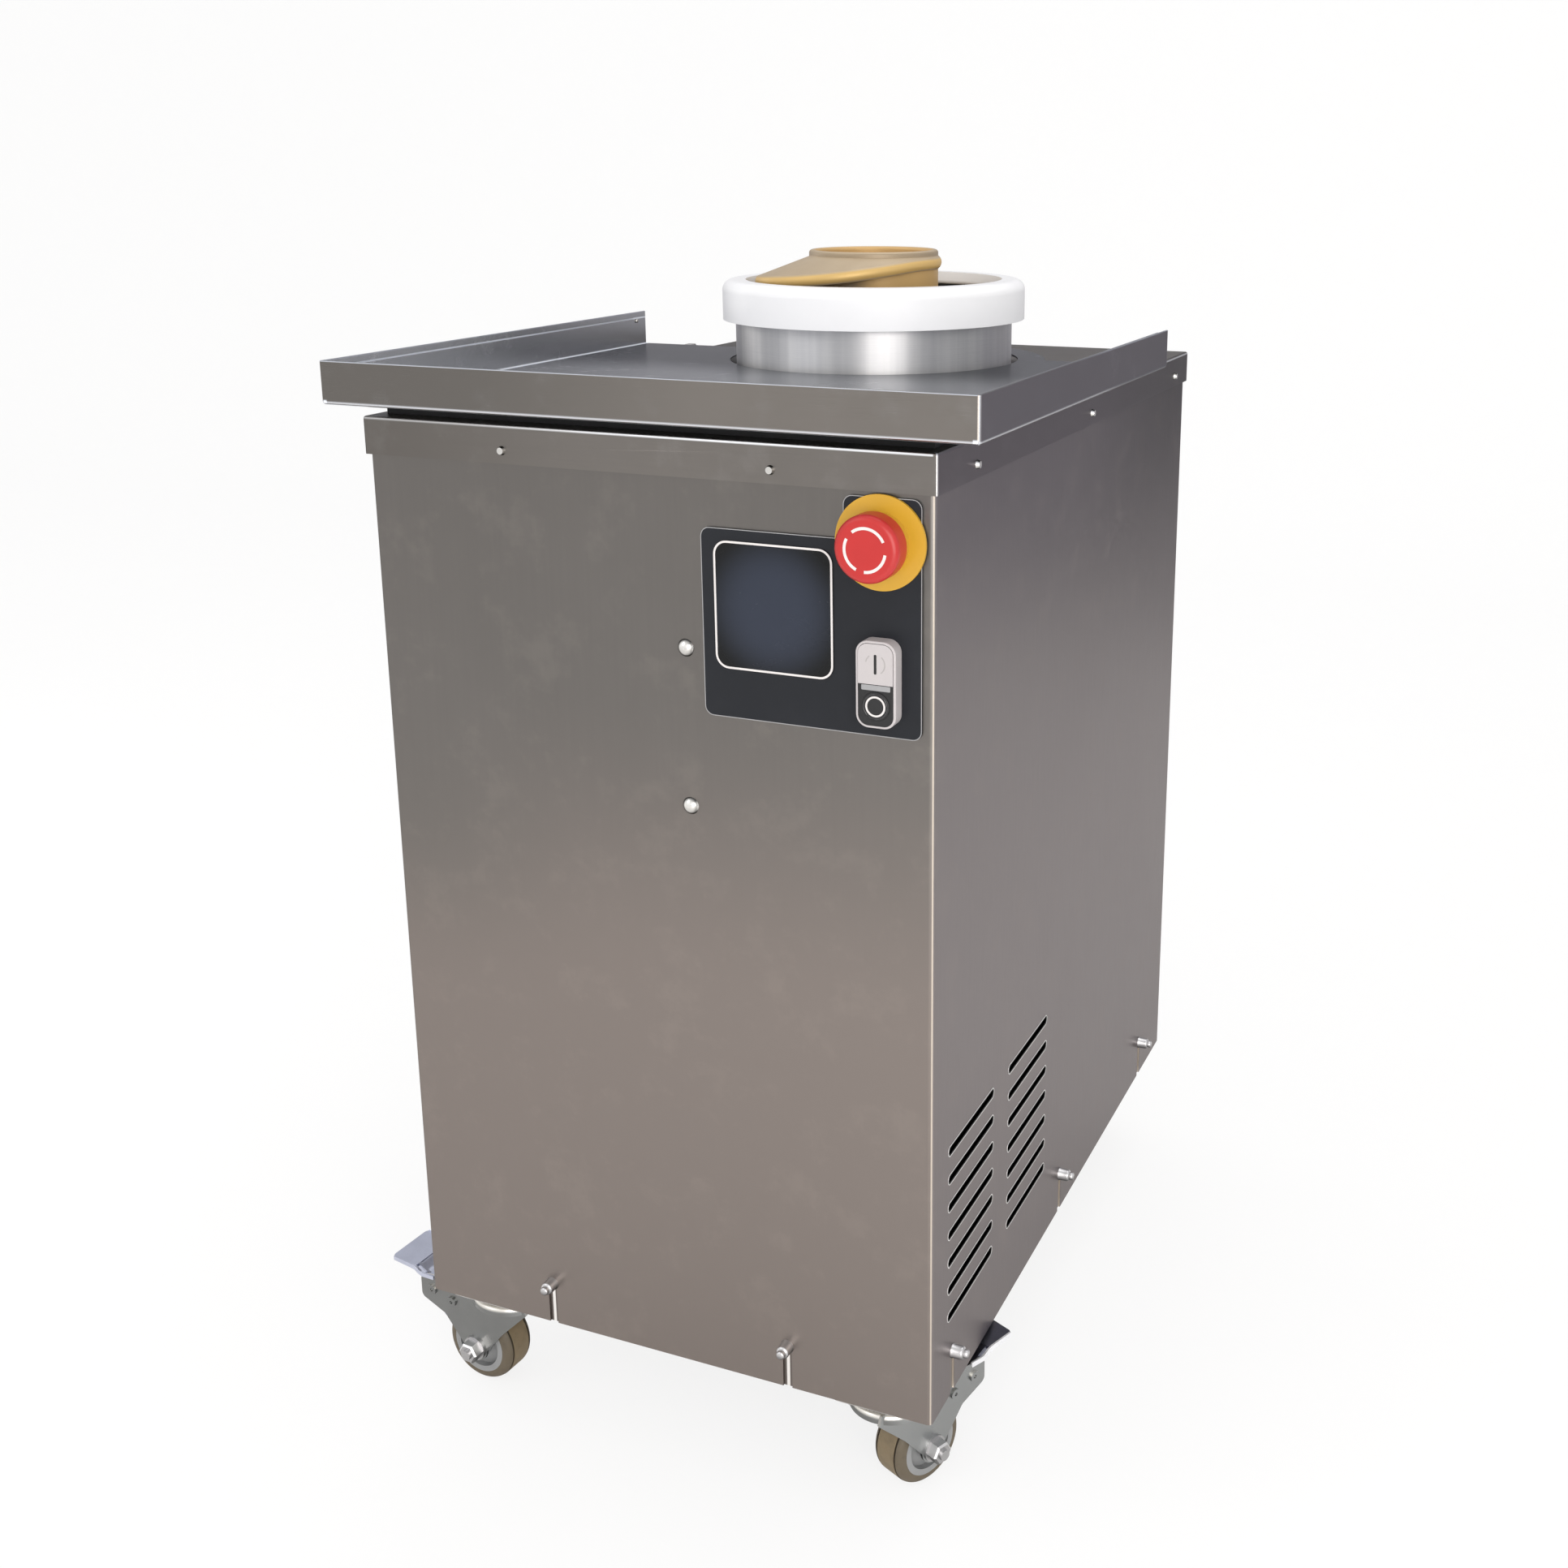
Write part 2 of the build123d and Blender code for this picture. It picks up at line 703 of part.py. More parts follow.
# Bearing housing: flanged barrel through the deck, with a seat for a bearing at each end.
upper_bearing = deck_height + housing_flange - housing_lip - bearing_width
lower_bearing = housing_bottom + housing_lip
with BuildPart() as bearing_housing:
    with BuildSketch(Plane.XY.offset(housing_bottom)):
        with Locations((0, drum_y)):
            Circle(housing_radius)
    extrude(amount=deck_height - housing_bottom)
    with BuildSketch(Plane.XY.offset(deck_height)):
        with Locations((0, drum_y)):
            Circle(housing_flange_radius)
            with PolarLocations(housing_bolt_circle, housing_bolt_count):
                Circle(deck_bolt_radius, mode=Mode.SUBTRACT)
    extrude(amount=housing_flange)
    with BuildSketch(Plane.XY.offset(housing_bottom)):
        with Locations((0, drum_y)):
            Circle(carrier_bore)
    extrude(amount=deck_height + housing_flange - housing_bottom, mode=Mode.SUBTRACT)
    with BuildSketch(Plane.XY.offset(housing_bottom), Plane.XY.offset(upper_bearing)):
        with Locations((0, drum_y)):
            Circle(bearing_radius)
    extrude(amount=housing_lip + bearing_width, mode=Mode.SUBTRACT)
bearing_housing.part.label = "bearing_housing"
export_step(bearing_housing.part, "parts/bearing_housing.step")

# Drum bearings: two sealed ball bearings, with a shallow seal face on both sides.
with BuildPart() as drum_bearings:
    with BuildSketch(Plane.XY.offset(upper_bearing), Plane.XY.offset(lower_bearing)):
        with Locations((0, drum_y)):
            Circle(bearing_radius)
            Circle(shaft_radius, mode=Mode.SUBTRACT)
    extrude(amount=bearing_width)
    seal_planes = [Plane.XY.offset(upper_bearing), Plane.XY.offset(lower_bearing)]
    upper_faces = [height + bearing_width - seal_depth for height in (upper_bearing, lower_bearing)]
    seal_planes += [Plane.XY.offset(height) for height in upper_faces]
    with BuildSketch(*seal_planes):
        with Locations((0, drum_y)):
            Circle(bearing_radius - race_wall)
            Circle(shaft_radius + race_wall, mode=Mode.SUBTRACT)
    extrude(amount=seal_depth, mode=Mode.SUBTRACT)
drum_bearings.part.label = "drum_bearings"
export_step(drum_bearings.part, "parts/drum_bearings.step")

# Post carrier: cup under the housing, which clears the locknut and holds the post upright.
carrier_bottom = housing_bottom - carrier_depth
with BuildPart() as post_carrier:
    with BuildSketch(Plane.XY.offset(carrier_bottom)):
        with Locations((0, drum_y)):
            Circle(housing_radius)
            Circle(post_radius, mode=Mode.SUBTRACT)
    extrude(amount=carrier_depth)
    with BuildSketch(Plane.XY.offset(carrier_bottom + carrier_floor)):
        with Locations((0, drum_y)):
            Circle(carrier_bore)
    extrude(amount=carrier_depth, mode=Mode.SUBTRACT)
post_carrier.part.label = "post_carrier"
export_step(post_carrier.part, "parts/post_carrier.step")

# Auger post: fixed bar up the middle of the shaft, with a hexagon that stops the auger turning.
with BuildPart() as auger_post:
    with BuildSketch(Plane.XY.offset(carrier_bottom)):
        with Locations((0, drum_y)):
            Circle(post_radius)
    extrude(amount=post_top - post_hex_height - carrier_bottom)
    with BuildSketch(Plane.XY.offset(post_top)):
        with Locations((0, drum_y)):
            RegularPolygon(post_hex_flats / 2, 6, major_radius=False)
    extrude(amount=-post_hex_height)
auger_post.part.label = "auger_post"
export_step(auger_post.part, "parts/auger_post.step")

# Drum shaft: hollow flanged shaft, which turns in the two bearings and carries the drum.
shaft_outside = shaft_radius - running_fit
with BuildPart() as drum_shaft:
    with BuildSketch(Plane.XY.offset(shaft_end)):
        with Locations((0, drum_y)):
            Circle(shaft_outside)
    extrude(amount=drum_floor - shaft_end)
    with BuildSketch(Plane.XY.offset(drum_floor)):
        with Locations((0, drum_y)):
            Circle(shaft_flange_radius)
    extrude(amount=-shaft_flange)
    with BuildSketch(Plane.XY.offset(shaft_end)):
        with Locations((0, drum_y)):
            Circle(shaft_bore)
    extrude(amount=drum_floor - shaft_end, mode=Mode.SUBTRACT)
drum_shaft.part.label = "drum_shaft"
export_step(drum_shaft.part, "parts/drum_shaft.step")

# Shaft nut: slotted locknut on the lower end of the shaft.
with BuildPart() as shaft_nut:
    with BuildSketch(Plane.XY.offset(lower_bearing - slip)):
        with Locations((0, drum_y)):
            Circle(lock_nut_radius)
            Circle(shaft_outside, mode=Mode.SUBTRACT)
            with PolarLocations(lock_nut_radius, lock_nut_slots):
                Rectangle(lock_nut_slot, lock_nut_slot, mode=Mode.SUBTRACT)
    extrude(amount=-lock_nut_height)
shaft_nut.part.label = "shaft_nut"
export_step(shaft_nut.part, "parts/shaft_nut.step")

# Drum: open bowl with straight walls and a collar that keeps flour off the post.
with BuildPart() as drum:
    with BuildSketch(drum_section):
        with BuildLine():
            Polyline(
                (shaft_bore, drum_floor),
                (drum_radius, drum_floor),
                (drum_radius, drum_top),
                (drum_radius - drum_wall, drum_top),
                (drum_radius - drum_wall, floor_top),
                (collar_radius, floor_top),
                (collar_radius, floor_top + collar_height),
                (shaft_bore, floor_top + collar_height),
                (shaft_bore, drum_floor),
            )
        make_face()
    revolve(axis=drum_axis)
drum.part.label = "drum"
export_step(drum.part, "parts/drum.step")

# Drum ring: rounded white ring on the drum's rim, with a lip over its edge.
ring_top = drum_top + ring_lip
with BuildPart() as drum_ring:
    with BuildSketch(drum_section) as ring_profile:
        with BuildLine():
            Polyline(
                (drum_radius, ring_bottom),
                (ring_radius, ring_bottom),
                (ring_radius, ring_top),
                (ring_lip_radius, ring_top),
                (ring_lip_radius, drum_top),
                (drum_radius, drum_top),
                close=True,
            )
        make_face()
        fillet(ring_profile.vertices().group_by(Axis.Z)[-1].sort_by(Axis.X)[-1], ring_round)
        fillet(ring_profile.vertices().group_by(Axis.Z)[-1].sort_by(Axis.X)[0], ring_inner_round)
        fillet(ring_profile.vertices().group_by(Axis.Z)[0].sort_by(Axis.X)[-1], ring_inner_round)
    revolve(axis=drum_axis)
drum_ring.part.label = "drum_ring"
export_step(drum_ring.part, "parts/drum_ring.step")

# Drum pulley: spoked rim with two lips, pressed on the shaft between the housing and the flange.
pulley_bottom = belt_bottom - pulley_lip_gap - pulley_lip
pulley_height = belt_width + 2 * (pulley_lip_gap + pulley_lip)
pulley_middle = pulley_bottom + pulley_height / 2
upper_lip = pulley_bottom + pulley_height - pulley_lip
with BuildPart() as drum_pulley:
    with BuildSketch(Plane.XY.offset(pulley_bottom)):
        with Locations((0, drum_y)):
            Circle(drum_pulley_radius)
            Circle(drum_pulley_radius - pulley_rim, mode=Mode.SUBTRACT)
    extrude(amount=pulley_height)
    with BuildSketch(Plane.XY.offset(pulley_bottom), Plane.XY.offset(upper_lip)):
        with Locations((0, drum_y)):
            Circle(drum_pulley_radius + pulley_lip_height)
            Circle(drum_pulley_radius - pulley_rim, mode=Mode.SUBTRACT)
    extrude(amount=pulley_lip)
    with BuildSketch(Plane.XY.offset(pulley_middle - pulley_web / 2)):
        with Locations((0, drum_y)):
            Circle(drum_pulley_radius - pulley_rim / 2)
            with PolarLocations((drum_pulley_radius - pulley_rim + drum_pulley_hub) / 2, pulley_window_count):
                Circle(pulley_window_radius, mode=Mode.SUBTRACT)
    extrude(amount=pulley_web)
    with BuildSketch(Plane.XY.offset(pulley_bottom - drum_pulley_hub_drop)):
        with Locations((0, drum_y)):
            Circle(drum_pulley_hub)
    extrude(amount=pulley_height + drum_pulley_hub_drop)
    with BuildSketch(Plane.XY.offset(pulley_bottom - drum_pulley_hub_drop)):
        with Locations((0, drum_y)):
            Circle(shaft_outside)
    extrude(amount=pulley_height + drum_pulley_hub_drop, mode=Mode.SUBTRACT)
drum_pulley.part.label = "drum_pulley"
export_step(drum_pulley.part, "parts/drum_pulley.step")

# Motor housing: finned flange motor, hung under the deck with its spigot in the deck.
with BuildPart() as motor_housing:
    with BuildSketch(Plane.XY.offset(motor_bottom)):
        with Locations((0, motor_y)):
            Circle(motor_radius)
            with PolarLocations(motor_radius + motor_fin / 2 - motor_fin_width / 2, motor_fin_count):
                Rectangle(motor_fin + motor_fin_width, motor_fin_width)
    extrude(amount=motor_length)
    with BuildSketch(Plane.XY.offset(deck_bottom)):
        with Locations((0, motor_y)):
            Circle(motor_flange_radius)
            with PolarLocations(motor_bolt_circle, motor_bolt_count, start_angle=180 / motor_bolt_count):
                Circle(deck_bolt_radius, mode=Mode.SUBTRACT)
    extrude(amount=-motor_flange)
    with BuildSketch(Plane.XY.offset(deck_bottom)):
        with Locations((0, motor_y)):
            Circle(motor_spigot_radius)
    extrude(amount=motor_spigot)
    with BuildSketch(Plane.XY.offset(deck_bottom + motor_spigot)):
        with Locations((0, motor_y)):
            Circle(motor_shaft_radius + running_fit)
    extrude(amount=-motor_length, mode=Mode.SUBTRACT)
motor_housing.part.label = "motor_housing"
export_step(motor_housing.part, "parts/motor_housing.step")

# Fan cowl: sheet cover under the motor, with air slots in its end.
cowl_radius = motor_radius + motor_fin
with BuildPart() as fan_cowl:
    with BuildSketch(Plane.XY.offset(motor_bottom)):
        with Locations((0, motor_y)):
            Circle(cowl_radius)
    extrude(amount=-cowl_length)
    fillet(fan_cowl.edges().group_by(Axis.Z)[0], 2 * cowl_sheet)
    offset(amount=-cowl_sheet, openings=fan_cowl.faces().sort_by(Axis.Z)[-1])
    with BuildSketch(Plane.XY.offset(motor_bottom - cowl_length)):
        with Locations((0, motor_y)):
            with PolarLocations(cowl_radius / 2, cowl_slot_count):
                SlotOverall(cowl_slot_length, cowl_slot_width)
    extrude(amount=2 * cowl_sheet, mode=Mode.SUBTRACT)
fan_cowl.part.label = "fan_cowl"
export_step(fan_cowl.part, "parts/fan_cowl.step")

# Motor shaft: turns in the housing and carries the small pulley above the deck.
with BuildPart() as motor_shaft:
    with BuildSketch(Plane.XY.offset(motor_shaft_top)):
        with Locations((0, motor_y)):
            Circle(motor_shaft_radius)
    extrude(amount=-(motor_shaft_top - deck_bottom + motor_length / 2))
    chamfer(motor_shaft.edges().group_by(Axis.Z)[-1], motor_shaft_chamfer)
motor_shaft.part.label = "motor_shaft"
export_step(motor_shaft.part, "parts/motor_shaft.step")

# Motor pulley: small pulley with two lips, level with the drum pulley.
with BuildPart() as motor_pulley:
    with BuildSketch(Plane.XY.offset(pulley_bottom)):
        with Locations((0, motor_y)):
            Circle(motor_pulley_radius)
    extrude(amount=pulley_height)
    with BuildSketch(Plane.XY.offset(pulley_bottom), Plane.XY.offset(upper_lip)):
        with Locations((0, motor_y)):
            Circle(motor_pulley_radius + pulley_lip_height)
    extrude(amount=pulley_lip)
    with BuildSketch(Plane.XY.offset(pulley_bottom)):
        with Locations((0, motor_y)):
            Circle(motor_shaft_radius)
    extrude(amount=pulley_height, mode=Mode.SUBTRACT)
motor_pulley.part.label = "motor_pulley"
export_step(motor_pulley.part, "parts/motor_pulley.step")

# Drive belt: flat belt round both pulleys, a hair clear of their seats.
with BuildPart() as drive_belt:
    with BuildSketch(Plane.XY.offset(belt_bottom), mode=Mode.PRIVATE) as belt_inside:
        with Locations((0, drum_y)):
            Circle(drum_pulley_radius + belt_gap)
        with Locations((0, motor_y)):
            Circle(motor_pulley_radius + belt_gap)
        make_hull()
    with BuildSketch(Plane.XY.offset(belt_bottom)):
        with Locations((0, drum_y)):
            Circle(drum_pulley_radius + belt_gap + belt_thickness)
        with Locations((0, motor_y)):
            Circle(motor_pulley_radius + belt_gap + belt_thickness)
        make_hull()
        add(belt_inside.sketch, mode=Mode.SUBTRACT)
    extrude(amount=belt_width)
drive_belt.part.label = "drive_belt"
export_step(drive_belt.part, "parts/drive_belt.step")

# Deck bolts: hex bolts and nuts for the housing, the motor and the rails.
housing_grip = housing_flange + deck_thickness
motor_grip = deck_thickness + motor_flange
rail_bolt_x = rail_side - rail_leg / 2
rail_bolt_y = (deck_back - deck_front) / 2 - rail_leg
with BuildPart() as deck_bolts:
    with BuildSketch(Plane.XY.offset(deck_height + housing_flange)):
        with Locations((0, drum_y)):
            with PolarLocations(housing_bolt_circle, housing_bolt_count):
                Circle(deck_bolt_radius)
    extrude(amount=-(housing_grip + deck_bolt_head))
    with BuildSketch(
        Plane.XY.offset(deck_height + housing_flange), Plane.XY.offset(deck_bottom - deck_bolt_head)
    ):
        with Locations((0, drum_y)):
            with PolarLocations(housing_bolt_circle, housing_bolt_count):
                RegularPolygon(deck_bolt_flats / 2, 6, major_radius=False)
    extrude(amount=deck_bolt_head)
    with BuildSketch(Plane.XY.offset(deck_height)):
        with Locations((0, motor_y)):
            with PolarLocations(motor_bolt_circle, motor_bolt_count, start_angle=180 / motor_bolt_count):
                Circle(deck_bolt_radius)
    extrude(amount=-(motor_grip + deck_bolt_head))
    with BuildSketch(
        Plane.XY.offset(deck_height), Plane.XY.offset(deck_height - motor_grip - deck_bolt_head)
    ):
        with Locations((0, motor_y)):
            with PolarLocations(motor_bolt_circle, motor_bolt_count, start_angle=180 / motor_bolt_count):
                RegularPolygon(deck_bolt_flats / 2, 6, major_radius=False)
    extrude(amount=deck_bolt_head)
    with BuildSketch(Plane.XY.offset(deck_height)):
        with Locations((0, (deck_front + deck_back) / 2)):
            with GridLocations(2 * rail_bolt_x, 2 * rail_bolt_y, 2, 2):
                RegularPolygon(deck_bolt_flats / 2, 6, major_radius=False)
    extrude(amount=deck_bolt_head)
deck_bolts.part.label = "deck_bolts"
export_step(deck_bolts.part, "parts/deck_bolts.step")

# Auger: hollow core with one helical flight. Dough drops down the core, slides off the ramp
# through the window and is rolled up the flight by the drum. At the top the flight runs out as a cone.
# Core and flight are two solids of one casting, which meet on the core's wall.
full_turn = 360
flight_start = taper_start - full_turn * flight_turns
flight_top = auger_rim - rim_step - hood_slope * (flight_reach - auger_root_radius)
flight_low = floor_top + flight_gap + root_drop + flight_edge
flight_pitch = (flight_top - flight_low) / flight_turns
window_turn = flight_start - window_lead
ramp_low = window_bottom + ramp_step


def eased(start, end, part_way):
    """Value between two ends that leaves and arrives gently."""
    return start + (end - start) * part_way**2 * (3 - 2 * part_way)


def flight_radius(turn):
    """How far the flight reaches from the axis at a given turn."""
    if turn <= taper_start:
        return flight_reach
    if turn <= taper_end:
        return eased(flight_reach, flight_lip, (turn - taper_start) / (taper_end - taper_start))
    return eased(flight_lip, auger_root_radius + lip_fade, (turn - taper_end) / (lip_end - taper_end))


def flight_height(turn):
    """Height of the flight's upper edge at a given turn."""
    cone = auger_rim - rim_step - hood_slope * (flight_radius(turn) - auger_root_radius)
    return cone - flight_pitch * max(0, taper_start - turn) / full_turn


with BuildPart() as auger_flight:
    for count in range(flight_sections + 1):
        turn = flight_start + (lip_end - flight_start) * count / flight_sections
        outward = (cos(radians(turn)), sin(radians(turn)), 0)
        backward = (sin(radians(turn)), -cos(radians(turn)), 0)
        reach = flight_radius(turn)
        top = flight_height(turn)
        root_top = top + hood_slope * (reach - auger_root_radius)
        bottom = top - flight_edge
        root_bottom = bottom - root_drop * (reach - auger_root_radius) / (flight_reach - auger_root_radius)
        bulge = min(edge_bulge, (reach - auger_root_radius) / 2)
        hollow = (2 * bottom + root_bottom) / 3 + flight_hollow * (reach - auger_root_radius) / flight_reach
        with BuildSketch(Plane((0, drum_y, 0), x_dir=outward, z_dir=backward)):
            with BuildLine():
                Line((auger_root_radius, root_bottom), (auger_root_radius, root_top))
                Line((auger_root_radius, root_top), (reach - bulge, top))
                ThreePointArc((reach - bulge, top), (reach, (top + bottom) / 2), (reach - bulge, bottom))
                ThreePointArc(
                    (reach - bulge, bottom),
                    ((reach - bulge + auger_root_radius) / 2, hollow),
                    (auger_root_radius, root_bottom),
                )
            make_face()
    loft()
    with BuildSketch(Plane.XY.offset(auger_bottom)):
        with Locations((0, drum_y)):
            Circle(auger_core_radius)
    extrude(amount=auger_rim - auger_bottom, mode=Mode.SUBTRACT)

with BuildPart() as auger_core:
    with BuildSketch(Plane.XY.offset(auger_bottom)):
        with Locations((0, drum_y)):
            Circle(auger_core_radius)
    extrude(amount=auger_rim - auger_bottom)
    ramp_angle = radians(window_turn)
    ramp_plane = Plane(
        origin=(
            auger_hole_radius * cos(ramp_angle),
            drum_y + auger_hole_radius * sin(ramp_angle),
            ramp_low,
        ),
        x_dir=(-sin(ramp_angle), cos(ramp_angle), 0),
        z_dir=(
            cos(ramp_angle) * sin(radians(ramp_tilt)),
            sin(ramp_angle) * sin(radians(ramp_tilt)),
            cos(radians(ramp_tilt)),
        ),
    )
    with BuildSketch(Plane.XY.offset(auger_bottom), mode=Mode.PRIVATE) as hole_plan:
        with Locations((0, drum_y)):
            Circle(auger_hole_radius)
    hole_column = extrude(hole_plan.sketch, amount=auger_rim - auger_bottom, mode=Mode.PRIVATE)
    hole_above_ramp = split(hole_column, bisect_by=ramp_plane, keep=Keep.TOP, mode=Mode.PRIVATE)
    add(hole_above_ramp, mode=Mode.SUBTRACT)
    fillet(auger_core.edges().group_by(Axis.Z)[-1], rim_round)
    window_plane = Plane(
        origin=(0, drum_y, window_bottom + window_height / 2),
        x_dir=ramp_plane.x_dir,
        z_dir=(cos(ramp_angle), sin(ramp_angle), 0),
    )
    with BuildSketch(window_plane):
        RectangleRounded(window_width, window_height, window_corner)
    extrude(amount=2 * auger_core_radius, mode=Mode.SUBTRACT)
    with BuildSketch(Plane.XY.offset(auger_bottom)):
        with Locations((0, drum_y)):
            RegularPolygon(post_hex_flats / 2 + running_fit, 6, major_radius=False)
    extrude(amount=post_top - auger_bottom + running_fit, mode=Mode.SUBTRACT)
auger = Compound(label="auger", children=[auger_core.part.solid(), auger_flight.part.solid()])
export_step(auger, "parts/auger.step")

# Control plate: black L-shaped plate on the front, cut out for the screen and the switches.
with BuildPart() as control_plate:
    with BuildSketch(Plane.XZ.offset(-front_face)) as plate_outline:
        with BuildLine():
            Polyline(
                (plate_left, plate_bottom),
                (plate_right, plate_bottom),
                (plate_right, plate_top),
                (plate_right - plate_column, plate_top),
                (plate_right - plate_column, plate_shoulder),
                (plate_left, plate_shoulder),
                close=True,
            )
        make_face()
        fillet(plate_outline.vertices(), plate_corner)
        with Locations((switch_x, estop_height), (switch_x, dual_height)):
            Circle(switch_hole, mode=Mode.SUBTRACT)
        with Locations((display_left + display_width / 2, display_bottom + display_height / 2)):
            Rectangle(display_body_width, display_body_height, mode=Mode.SUBTRACT)
    extrude(amount=plate_sheet)
control_plate.part.label = "control_plate"
export_step(control_plate.part, "parts/control_plate.step")

# Display: square touch screen with rounded glass, and its case behind the panel.
with BuildPart() as display:
    with BuildSketch(Plane.XZ.offset(-plate_front)):
        with Locations((display_left + display_width / 2, display_bottom + display_height / 2)):
            RectangleRounded(display_width, display_height, display_corner)
    extrude(amount=display_proud)
    with BuildSketch(Plane.XZ.offset(-plate_front)):
        with Locations((display_left + display_width / 2, display_bottom + display_height / 2)):
            Rectangle(display_body_width, display_body_height)
    extrude(amount=-display_depth)
display.part.label = "display"
export_step(display.part, "parts/display.step")

# Emergency stop collar: yellow disc and neck, with a threaded tube through the panel.
estop_plane = Plane.XZ.offset(-plate_front)
estop_tube = plate_sheet + panel_sheet + contact_gap
stem_hole = estop_stem_radius + running_fit
with BuildPart() as estop_collar:
    with BuildSketch(estop_plane):
        with Locations((switch_x, estop_height)):
            Circle(estop_disc_radius)
    extrude(amount=estop_disc)
    with BuildSketch(estop_plane):
        with Locations((switch_x, estop_height)):
            Circle(estop_neck_radius)
    extrude(amount=estop_disc + estop_neck)
    with BuildSketch(estop_plane):
        with Locations((switch_x, estop_height)):
            Circle(switch_hole)
    extrude(amount=-estop_tube)
    with BuildSketch(estop_plane.offset(-estop_tube)):
        with Locations((switch_x, estop_height)):
            Circle(stem_hole)
    extrude(amount=estop_tube + estop_disc + estop_neck, mode=Mode.SUBTRACT)
estop_collar.part.label = "estop_collar"
export_step(estop_collar.part, "parts/estop_collar.step")

# Emergency stop contacts: switch block behind the panel, with room for the stem's travel.
stem_back = estop_tube + stem_reach
with BuildPart() as estop_contacts:
    with BuildSketch(estop_plane.offset(-estop_tube)):
        with Locations((switch_x, estop_height)):
            RectangleRounded(contact_width, contact_height, contact_corner)
    extrude(amount=-contact_depth)
    with BuildSketch(estop_plane.offset(-estop_tube)):
        with Locations((switch_x, estop_height)):
            Circle(estop_stem_radius + slip)
    extrude(amount=-(stem_reach + 2 * estop_travel), mode=Mode.SUBTRACT)
estop_contacts.part.label = "estop_contacts"
export_step(estop_contacts.part, "parts/estop_contacts.step")

# Emergency stop stem: sliding rod from the contacts into the mushroom head.
estop_front = estop_proud - plate_sheet
with BuildPart() as estop_stem:
    with BuildSketch(estop_plane.offset(-stem_back)):
        with Locations((switch_x, estop_height)):
            Circle(estop_stem_radius)
    extrude(amount=stem_back + estop_front - estop_head_crown)
estop_stem.part.label = "estop_stem"
export_step(estop_stem.part, "parts/estop_stem.step")

# Emergency stop cap: red mushroom head, hollow behind so it can pass over the neck when pressed.
with BuildPart() as estop_cap:
    with BuildSketch(estop_plane.offset(estop_front)):
        with Locations((switch_x, estop_height)):
            Circle(estop_head_radius)
    extrude(amount=-estop_head)
    fillet(estop_cap.edges().group_by(Axis.Y)[0], estop_head_crown)
    fillet(estop_cap.edges().group_by(Axis.Y)[-1], estop_back_round)
    with BuildSketch(estop_plane.offset(estop_front - estop_head)):
        with Locations((switch_x, estop_height)):
            Circle(estop_neck_radius + estop_neck_gap)
    extrude(amount=estop_recess, mode=Mode.SUBTRACT)
    with BuildSketch(estop_plane.offset(estop_front - estop_head)):
        with Locations((switch_x, estop_height)):
            Circle(stem_hole)
    extrude(amount=estop_head - estop_head_crown + running_fit, mode=Mode.SUBTRACT)
estop_cap.part.label = "estop_cap"
export_step(estop_cap.part, "parts/estop_cap.step")

# Double button bezel: pale rounded frame round both buttons.
dual_plane = Plane.XZ.offset(-plate_front)
dual_inner_width = dual_width - 2 * dual_frame
dual_inner_length = dual_length - 2 * dual_frame
with BuildPart() as dual_button_bezel:
    with BuildSketch(dual_plane):
        with Locations((switch_x, dual_height)):
            RectangleRounded(dual_width, dual_length, dual_corner)
    extrude(amount=dual_proud)
    fillet(dual_button_bezel.edges().group_by(Axis.Y)[0], dual_round)
    with BuildSketch(dual_plane):
        with Locations((switch_x, dual_height)):
            RectangleRounded(dual_inner_width, dual_inner_length, dual_corner - dual_frame)
    extrude(amount=dual_proud, mode=Mode.SUBTRACT)
dual_button_bezel.part.label = "dual_button_bezel"
export_step(dual_button_bezel.part, "parts/dual_button_bezel.step")

# Double button body: black insert with the stop button's field, and the contacts behind the panel.
dual_tube = plate_sheet + panel_sheet + contact_gap
stop_centre = dual_height - dual_inner_length / 4 - stop_drop
with BuildPart() as dual_button_body:
    with BuildSketch(dual_plane):
        with Locations((switch_x, dual_height)):
            RectangleRounded(dual_inner_width, dual_inner_length, dual_corner - dual_frame)
    extrude(amount=dual_proud - dual_insert_drop)
    with BuildSketch(dual_plane.offset(dual_back)):
        with Locations((switch_x, dual_height + dual_inner_length / 2)):
            Rectangle(dual_inner_width, dual_inner_length)
        with Locations((switch_x, stop_centre)):
            Circle(stop_radius + running_fit)
    extrude(amount=dual_proud, mode=Mode.SUBTRACT)
    with BuildSketch(dual_plane):
        with Locations((switch_x, dual_height)):
            Circle(switch_hole)
    extrude(amount=-dual_tube)
    with BuildSketch(dual_plane.offset(-dual_tube)):
        with Locations((switch_x, dual_height)):
            RectangleRounded(contact_width, contact_height, contact_corner)
    extrude(amount=-contact_depth)
dual_button_body.part.label = "dual_button_body"
export_step(dual_button_body.part, "parts/dual_button_body.step")

# Start button: white rocker-sized key that fills the upper half of the bezel.
with BuildPart() as start_button:
    with BuildSketch(dual_plane.offset(dual_proud + start_proud)):
        with Locations((switch_x, dual_height)):
            RectangleRounded(
                dual_inner_width - 2 * dual_gap,
                dual_inner_length - 2 * dual_gap,
                dual_corner - dual_frame - dual_gap,
            )
        with Locations((switch_x, dual_height + dual_split - dual_inner_length / 2)):
            Rectangle(dual_inner_width, dual_inner_length, mode=Mode.SUBTRACT)
    extrude(amount=-start_depth)
start_button.part.label = "start_button"
export_step(start_button.part, "parts/start_button.step")

